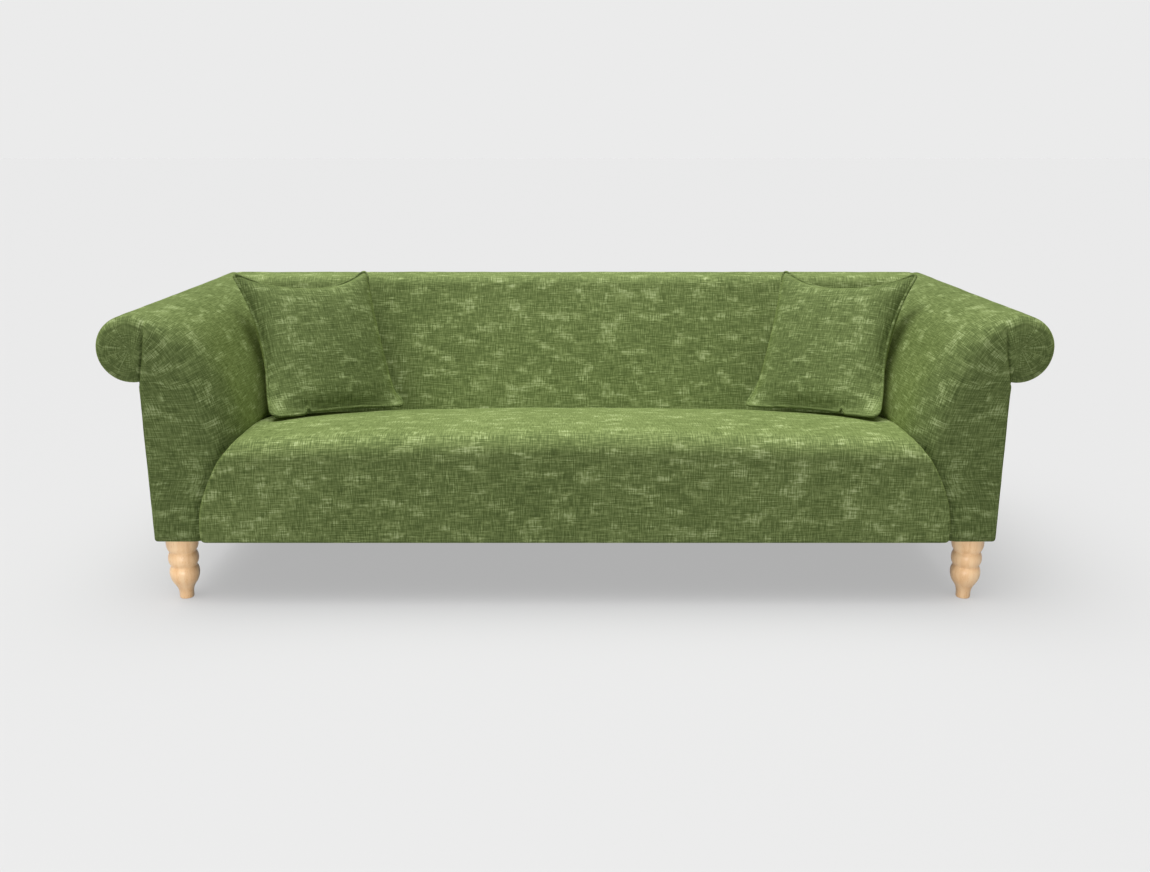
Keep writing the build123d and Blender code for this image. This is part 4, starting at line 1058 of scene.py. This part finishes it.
def make_piping(name, path):
    """A closed cord along the path, with cloth coordinates."""
    mesh = bpy.data.meshes.new(name)
    count = len(path)
    mesh.from_pydata([tuple(p) for p in path], [(k, (k + 1) % count) for k in range(count)], [])
    piece = new_piece(name, mesh)
    sweep = piece.modifiers.new("sweep", "NODES")
    sweep.node_group = piping_nodes
    sweep[piping_radius] = PIPING
    mesh = make_plain(piece).data
    corner = np.empty(len(mesh.loops), int)
    mesh.loops.foreach_get("vertex_index", corner)
    spot = vertex_values(mesh, "co")[corner]
    uv = np.stack([spot[:, 0] + spot[:, 1], spot[:, 2]], 1)
    mesh.uv_layers.new(name="cloth").data.foreach_set("uv", uv.ravel())
    return piece


piping_path = settled(rim_curve(form[rim])) * (PIPING_OUT, PIPING_OUT, 1.0)
piping_long = np.linalg.norm(np.roll(piping_path, -1, axis=0) - piping_path, axis=1).sum()
print("piping:", round(piping_long, 2), "m round each cushion")

# %% Make the cushions
CUSHION_LEVELS = 2
put_points(blank_mesh, form)
filled = new_piece("filled_cushion", blank_mesh)
soften = filled.modifiers.new("soften", "SUBSURF")
soften.levels = soften.render_levels = CUSHION_LEVELS
form_mesh = make_plain(filled).data
bpy.data.objects.remove(filled)
cushion_points = settled(vertex_values(form_mesh, "co"))
for name, mirror in (("left", False), ("right", True)):
    body = f"{name}_cushion"
    mesh = form_mesh.copy()
    mesh.name = body
    put_points(mesh, cushion_place(cushion_points, mirror))
    if mirror:
        mesh.flip_normals()
    stands_for = [f"{body}_{part}" for part in ("front", "back", "pad")]
    cushion = new_piece(body, mesh)
    # the cushions take the darker velvet: its colour is painted shade
    finish_cloth(cushion, body, *stands_for, fill=0.8, uneven=0.0008, seed=17.0, cloth=painted_shade_velvet)
    cord = make_piping(f"{name}_piping", cushion_place(piping_path, mirror))
    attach(cord, body)
    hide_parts(f"{body}_piping")

# %% [markdown]
# ## Turned beech legs
# The legs keep their turned solid. Beech is pale and close-grained, with short darker flecks
# along the grain, under a clear satin lacquer. A wood image would need unwrapping, so noise in the
# leg's own coordinates does it. The grain runs down the leg, so the noise is stretched along Z.

# %% Lacquered beech
# turned and sanded, so the eye sees fine flecks; the lacquer adds a soft, narrow shine
BEECH_PALE, BEECH_MID, BEECH_DARK = "#FCD9AC", "#F3C897", "#DFAC74"
# the grain's width in metres, how many times longer it is, and the noise's detail
BEECH_GRAIN = {"bands": (0.016, 14, 3.0), "flecks": (0.0016, 9, 1.0)}
FLECK_FROM, FLECK_FULL, FLECK_DARK = 0.60, 0.78, 0.35
beech, tree = new_material("lacquered_beech")
place = add_node(tree, "ShaderNodeTexCoord").outputs["Object"]
grain = {}
for part, (wide, longer, detail) in BEECH_GRAIN.items():
    stretch = (1 / wide, 1 / wide, 1 / (wide * longer))
    scaled = add_node(tree, "ShaderNodeMapping", {"Vector": place, "Scale": stretch})
    pattern = {"Vector": scaled, "Scale": 1.0, "Detail": detail, "Roughness": 0.55}
    grain[part] = add_node(tree, "ShaderNodeTexNoise", pattern)
fleck_range = {"Value": grain["flecks"], "From Min": FLECK_FROM, "From Max": FLECK_FULL, "To Max": FLECK_DARK}
dark_flecks = add_node(tree, "ShaderNodeMapRange", fleck_range)
both = {0: grain["bands"], 1: dark_flecks}
tone = add_node(tree, "ShaderNodeMath", both, operation="SUBTRACT", use_clamp=True)
ramp = add_node(tree, "ShaderNodeValToRGB", {"Fac": tone})
set_ramp(ramp, [(0.12, BEECH_DARK), (0.46, BEECH_MID), (0.72, BEECH_PALE)])
rough = add_node(tree, "ShaderNodeMapRange", {"Value": grain["flecks"], "To Min": 0.36, "To Max": 0.52})
bump = add_node(tree, "ShaderNodeBump", {"Height": grain["flecks"], "Strength": 0.12, "Distance": 0.0003})
lacquer = {"Coat Weight": 0.3, "Coat Roughness": 0.22}
wood = {"Base Color": ramp, "Roughness": rough, "IOR": 1.5, "Normal": bump}
shader = add_node(tree, "ShaderNodeBsdfPrincipled", {**wood, **lacquer})
add_node(tree, "ShaderNodeOutputMaterial", {"Surface": shader})


def dress(node, material):
    """Gives a solid of the frame its finish."""
    nodes[node].data.materials.clear()
    nodes[node].data.materials.append(material)


LEGS = ("front_left_leg", "front_right_leg", "rear_left_leg", "rear_right_leg")
for leg in LEGS:
    dress(leg, beech)
print("legs in", beech.name)

# %% [markdown]
# ## What the covers hide
# Frame, springs, webbing and felt stay as solids inside. Each still gets its own finish, because
# someone may take a cover off. They are all plain surfaces with a fine grain, so one function makes
# them from two close tones and the grain's size.


# %% Hidden finishes
def inner_finish(name, dark, light, grain, roughness, metallic=0.0):
    """A plain finish with a grain of so many metres each way, in two close tones."""
    material, tree = new_material(name)
    place = add_node(tree, "ShaderNodeTexCoord").outputs["Object"]
    scaled = add_node(tree, "ShaderNodeMapping", {"Vector": place, "Scale": tuple(1 / g for g in grain)})
    speckle = add_node(tree, "ShaderNodeTexNoise", {"Vector": scaled, "Scale": 1.0, "Detail": 3.0})
    ramp = add_node(tree, "ShaderNodeValToRGB", {"Fac": speckle})
    set_ramp(ramp, [(0.3, dark), (0.7, light)])
    bump = add_node(tree, "ShaderNodeBump", {"Height": speckle, "Strength": 0.2, "Distance": 0.0004})
    surface = {"Base Color": ramp, "Roughness": roughness, "Metallic": metallic, "Normal": bump}
    shader = add_node(tree, "ShaderNodeBsdfPrincipled", surface)
    add_node(tree, "ShaderNodeOutputMaterial", {"Surface": shader})
    return material


FINE, SOFT = (0.002, 0.002, 0.002), (0.003, 0.003, 0.003)
inner = {
    # planed softwood: yellow, with long straight grain
    "frame_timber": inner_finish("planed_pine", "#C59A62", "#DDB880", (0.3, 0.006, 0.006), 0.7),
    # sawn birch plywood: paler, with a rougher face
    "frame_board": inner_finish("sawn_plywood", "#BD9868", "#DDC096", (0.006, 0.05, 0.006), 0.75),
    # pressed brown board: even and dull
    "liner_board": inner_finish("brown_fibreboard", "#6E543A", "#8A6C4C", (0.004, 0.004, 0.004), 0.85),
    # drawn steel wire: bright, a little scratched
    "steel": inner_finish("bright_wire", "#8C8E92", "#B4B6BA", FINE, 0.35, 1.0),
    # woven elastic webbing: black and matt
    "webbing": inner_finish("black_webbing", "#1E1E1F", "#3A3A3C", (0.004, 0.004, 0.002), 0.85),
    # needled waste fibres: grey and mottled
    "felt": inner_finish("needled_felt", "#5C5750", "#8A847A", SOFT, 0.95),
    # cut polyurethane foam: cream, with fine open cells
    "foam": inner_finish("cut_foam", "#E2D9B4", "#EFE8CB", FINE, 0.95),
    # spunbonded lining: thin and near black
    "lining": inner_finish("black_lining", "#141416", "#232327", (0.0025, 0.0025, 0.0025), 0.92),
    # woven cotton case of the filling: off-white
    "filling": inner_finish("cotton_case", "#E4E0D8", "#F1EEE8", FINE, 0.95),
}
dressed = [entry for entry in frame["record"]["subparts"] if entry["material_slot"] in inner]
for entry in dressed:
    dress(entry["node"], inner[entry["material_slot"]])
print("hidden solids dressed:", len(dressed))

# %% [markdown]
# ## Dust cloth and staples
# A thin black lining closes the underside and is stapled along its edges. It hangs a few millimetres
# between the rails, too little to be worth a simulation, so its sag is a pair of sine curves with a
# little noise. The staples repeat along a path, so Geometry Nodes place them.

# %% Dust cloth
LINING_IN = 0.028  # its edge is turned in, so that it doesn't show below the front
LINING_CELLS = (106, 46)
RIPPLES, HELD = (14, 6), 12  # ripples across and along; the edge is held flat
LINING_SAG, LINING_RIPPLE, LINING_THICK, LINING_UNDER = 0.007, 0.0012, 0.0006, 0.0003
low, high = (np.array(v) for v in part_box("dust_cloth"))
low[:2] += LINING_IN
high[:2] -= LINING_IN
cols, rows = LINING_CELLS
bm = bmesh.new()
lattice = []
for i in range(cols + 1):
    lattice.append([])
    for j in range(rows + 1):
        a, b = i / cols, j / rows
        sag = LINING_SAG * math.sin(math.pi * a) ** 0.5 * math.sin(math.pi * b) ** 0.8
        loose = min(1, HELD * min(a, 1 - a, b, 1 - b))
        ripple = LINING_RIPPLE * noise.noise(Vector((a * RIPPLES[0], b * RIPPLES[1], 3))) * loose
        x, y = low[0] + (high[0] - low[0]) * a, low[1] + (high[1] - low[1]) * b
        lattice[-1].append(bm.verts.new((x, y, high[2] - LINING_UNDER - sag - ripple)))
for i in range(cols):
    for j in range(rows):
        bm.faces.new((lattice[i][j], lattice[i][j + 1], lattice[i + 1][j + 1], lattice[i + 1][j]))
lining = new_piece("dust_lining", bm)
wall = lining.modifiers.new("cloth_thickness", "SOLIDIFY")
wall.thickness, wall.offset = LINING_THICK, 1.0
make_plain(lining)
lining.data.materials.append(inner["lining"])
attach(lining, "sofa")
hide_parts("dust_cloth")


# %% Staple tree
def staple_tree():
    """The node tree, and the identifiers of its inputs for the spacing and the staple's size."""
    tree = bpy.data.node_groups.new("staples", "GeometryNodeTree")
    tree.interface.new_socket("Geometry", in_out="INPUT", socket_type="NodeSocketGeometry")
    step = tree.interface.new_socket("Spacing", in_out="INPUT", socket_type="NodeSocketFloat")
    size = tree.interface.new_socket("Staple", in_out="INPUT", socket_type="NodeSocketVector")
    tree.interface.new_socket("Geometry", in_out="OUTPUT", socket_type="NodeSocketGeometry")
    inputs = add_node(tree, "NodeGroupInput").outputs
    path = add_node(tree, "GeometryNodeMeshToCurve", {"Mesh": inputs["Geometry"]})
    row = {"Curve": path, "Length": inputs["Spacing"]}
    spots = add_node(tree, "GeometryNodeCurveToPoints", row, mode="LENGTH").outputs
    staple = add_node(tree, "GeometryNodeMeshCube", {"Size": inputs["Staple"]})
    turn = add_node(tree, "FunctionNodeAlignEulerToVector", {"Vector": spots["Tangent"]}, axis="X")
    driven = {"Points": spots["Points"], "Instance": staple, "Rotation": turn}
    placed = add_node(tree, "GeometryNodeInstanceOnPoints", driven)
    whole = add_node(tree, "GeometryNodeRealizeInstances", {0: placed})
    dressed = add_node(tree, "GeometryNodeSetMaterial", {"Geometry": whole, "Material": inner["steel"]})
    add_node(tree, "NodeGroupOutput", {"Geometry": dressed})
    return tree, step.identifier, size.identifier


staple_nodes, staple_step, staple_size = staple_tree()
print("staple tree:", len(staple_nodes.nodes), "nodes")

# %% Staples
STAPLE_IN, STAPLE_UNDER = 0.016, 0.0016
STAPLE_STEP, STAPLE_SIZE = 0.055, (0.011, 0.0013, 0.0012)
left_x, right_x = low[0] + STAPLE_IN, high[0] - STAPLE_IN
front_y, rear_y = low[1] + STAPLE_IN, high[1] - STAPLE_IN
staple_z = high[2] - STAPLE_UNDER
corners = ((left_x, front_y), (right_x, front_y), (right_x, rear_y), (left_x, rear_y))
row_path = [(x, y, staple_z) for x, y in corners]
path_mesh = bpy.data.meshes.new("lining_staples")
path_mesh.from_pydata(row_path, [(0, 1), (1, 2), (2, 3), (3, 0)], [])
staples = new_piece("lining_staples", path_mesh)
placing = staples.modifiers.new("placing", "NODES")
placing.node_group = staple_nodes
placing[staple_step] = STAPLE_STEP
placing[staple_size] = STAPLE_SIZE
make_plain(staples)
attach(staples, "sofa")
print("staples:", len(staples.data.polygons) // 6)

# %% [markdown]
# ## Floor and light
# The photograph has a seamless pale ground and light from all of a white room, mostly from above.
# Lamps alone could imitate it, but a world that is bright overhead and dim at the horizon gives the same
# soft light with one shadow. The floor then has one even colour with the sofa's own shadow. Where the
# camera sees it, the floor is lifted towards white, so that the shadow stays as pale as it should.

# %% Floor
# matt paint: even to the eye, with no shine
GROUND = "#EBEBEB"
FLOOR_SEEN, FLOOR_LIFT, FLOOR_UNSEEN = "#878787", "#ADADAD", "#A0A0A0"
FLOOR_REACH = 60.0
pale_floor, tree = new_material("pale_floor")
rays = add_node(tree, "ShaderNodeLightPath").outputs
direct = {0: rays["Is Camera Ray"], 1: rays["Is Glossy Ray"]}
seen = add_node(tree, "ShaderNodeMath", direct, operation="MAXIMUM")
seen = add_node(tree, "ShaderNodeMath", {0: seen, 1: rays["Is Transmission Ray"]}, operation="MAXIMUM")
matt = add_node(tree, "ShaderNodeBsdfDiffuse", {"Color": linear(FLOOR_SEEN)})
lifted = add_node(tree, "ShaderNodeEmission", {"Color": linear(FLOOR_LIFT), "Strength": 1.0})
shown = add_node(tree, "ShaderNodeAddShader", {0: matt, 1: lifted})
unseen = add_node(tree, "ShaderNodeBsdfDiffuse", {"Color": linear(FLOOR_UNSEEN)})
ground = add_node(tree, "ShaderNodeMixShader", {0: seen, 1: unseen, 2: shown})
add_node(tree, "ShaderNodeOutputMaterial", {"Surface": ground})
floor_mesh = bpy.data.meshes.new("floor")
floor_corners = [(x * FLOOR_REACH, y * FLOOR_REACH, 0) for x, y in ((-1, -1), (1, -1), (1, 1), (-1, 1))]
floor_mesh.from_pydata(floor_corners, [], [(0, 1, 2, 3)])
floor_mesh.materials.append(pale_floor)
floor = new_piece("floor", floor_mesh)
print("floor in", pale_floor.name)

# %% Overhead light
SKY_BASE, SKY_TOP, SKY_POWER, SKY_LEFT = 0.04, 8.2, 8.0, math.radians(8)
world = bpy.data.worlds.new("studio")
world.use_nodes = True
scene.world = world
tree = world.node_tree
tree.nodes.clear()
direction = add_node(tree, "ShaderNodeTexCoord").outputs["Generated"]
brightest = (-math.sin(SKY_LEFT), 0.0, math.cos(SKY_LEFT))
toward = add_node(tree, "ShaderNodeVectorMath", {0: direction, 1: brightest}, operation="DOT_PRODUCT")
above = add_node(tree, "ShaderNodeMath", {0: toward.outputs["Value"], 1: 0.0}, operation="MAXIMUM")
steep = add_node(tree, "ShaderNodeMath", {0: above, 1: SKY_POWER}, operation="POWER")
strength = add_node(tree, "ShaderNodeMath", {0: steep, 1: SKY_TOP, 2: SKY_BASE}, operation="MULTIPLY_ADD")
room = add_node(tree, "ShaderNodeBackground", {"Color": linear("#FFFFFF"), "Strength": strength})
backdrop = add_node(tree, "ShaderNodeBackground", {"Color": linear(GROUND), "Strength": 1.0})
rays = add_node(tree, "ShaderNodeLightPath").outputs
both_rays = {0: rays["Is Camera Ray"], 1: rays["Is Transmission Ray"]}
seen = add_node(tree, "ShaderNodeMath", both_rays, operation="MAXIMUM")
both = add_node(tree, "ShaderNodeMixShader", {0: seen, 1: room, 2: backdrop})
add_node(tree, "ShaderNodeOutputWorld", {"Surface": both})
print("overhead light", SKY_TOP, "times as bright as white, falling to", SKY_BASE, "at the horizon")

# %% [markdown]
# ### Two soft boxes
# A wide soft box behind the camera lights the fronts of the seat and the arms. The sofa keeps the
# overhead light off its legs, so a second, low lamp lights them alone: light linking does what flags
# round the lamp would do in a studio.


# %% Soft boxes
def soft_box(name, size, watts, place, aim):
    """A rectangular lamp at a place, turned towards the aim."""
    data = bpy.data.lights.new(name, "AREA")
    data.shape = "RECTANGLE"
    data.size, data.size_y = size
    data.energy = watts
    lamp = new_piece(name, data)
    lamp.location = place
    lamp.rotation_euler = (Vector(aim) - lamp.location).to_track_quat("-Z", "Y").to_euler()
    return lamp


soft_box("front_softbox", (5.0, 2.0), 66.0, (-1.8, -5.8, 1.5), (0.0, 0.0, 0.45))
leg_lamp = soft_box("leg_lamp", (2.0, 0.6), 70.0, (-0.6, -5.0, 0.5), (0.0, 0.0, 0.1))
lit_legs = bpy.data.collections.new("lit_legs")
for leg in LEGS:
    lit_legs.objects.link(nodes[leg])
leg_lamp.light_linking.receiver_collection = lit_legs

# %% [markdown]
# ## Camera
# The camera stands where the photograph was taken from: a little above the back, 15 degrees down, with
# a 35 mm lens. These values come from fitting the sofa's outline to the picture.

# %% Camera
camera_data = bpy.data.cameras.new("camera")
camera_data.lens, camera_data.sensor_width = 35.0, 36.0
camera = new_piece("camera", camera_data)
camera.location = (0.0, -3.1406, 1.1558)
camera.rotation_euler = (math.radians(75), 0, 0)
scene.camera = camera
scene.view_settings.view_transform = "Standard"
print("camera at", tuple(round(v, 3) for v in camera.location))
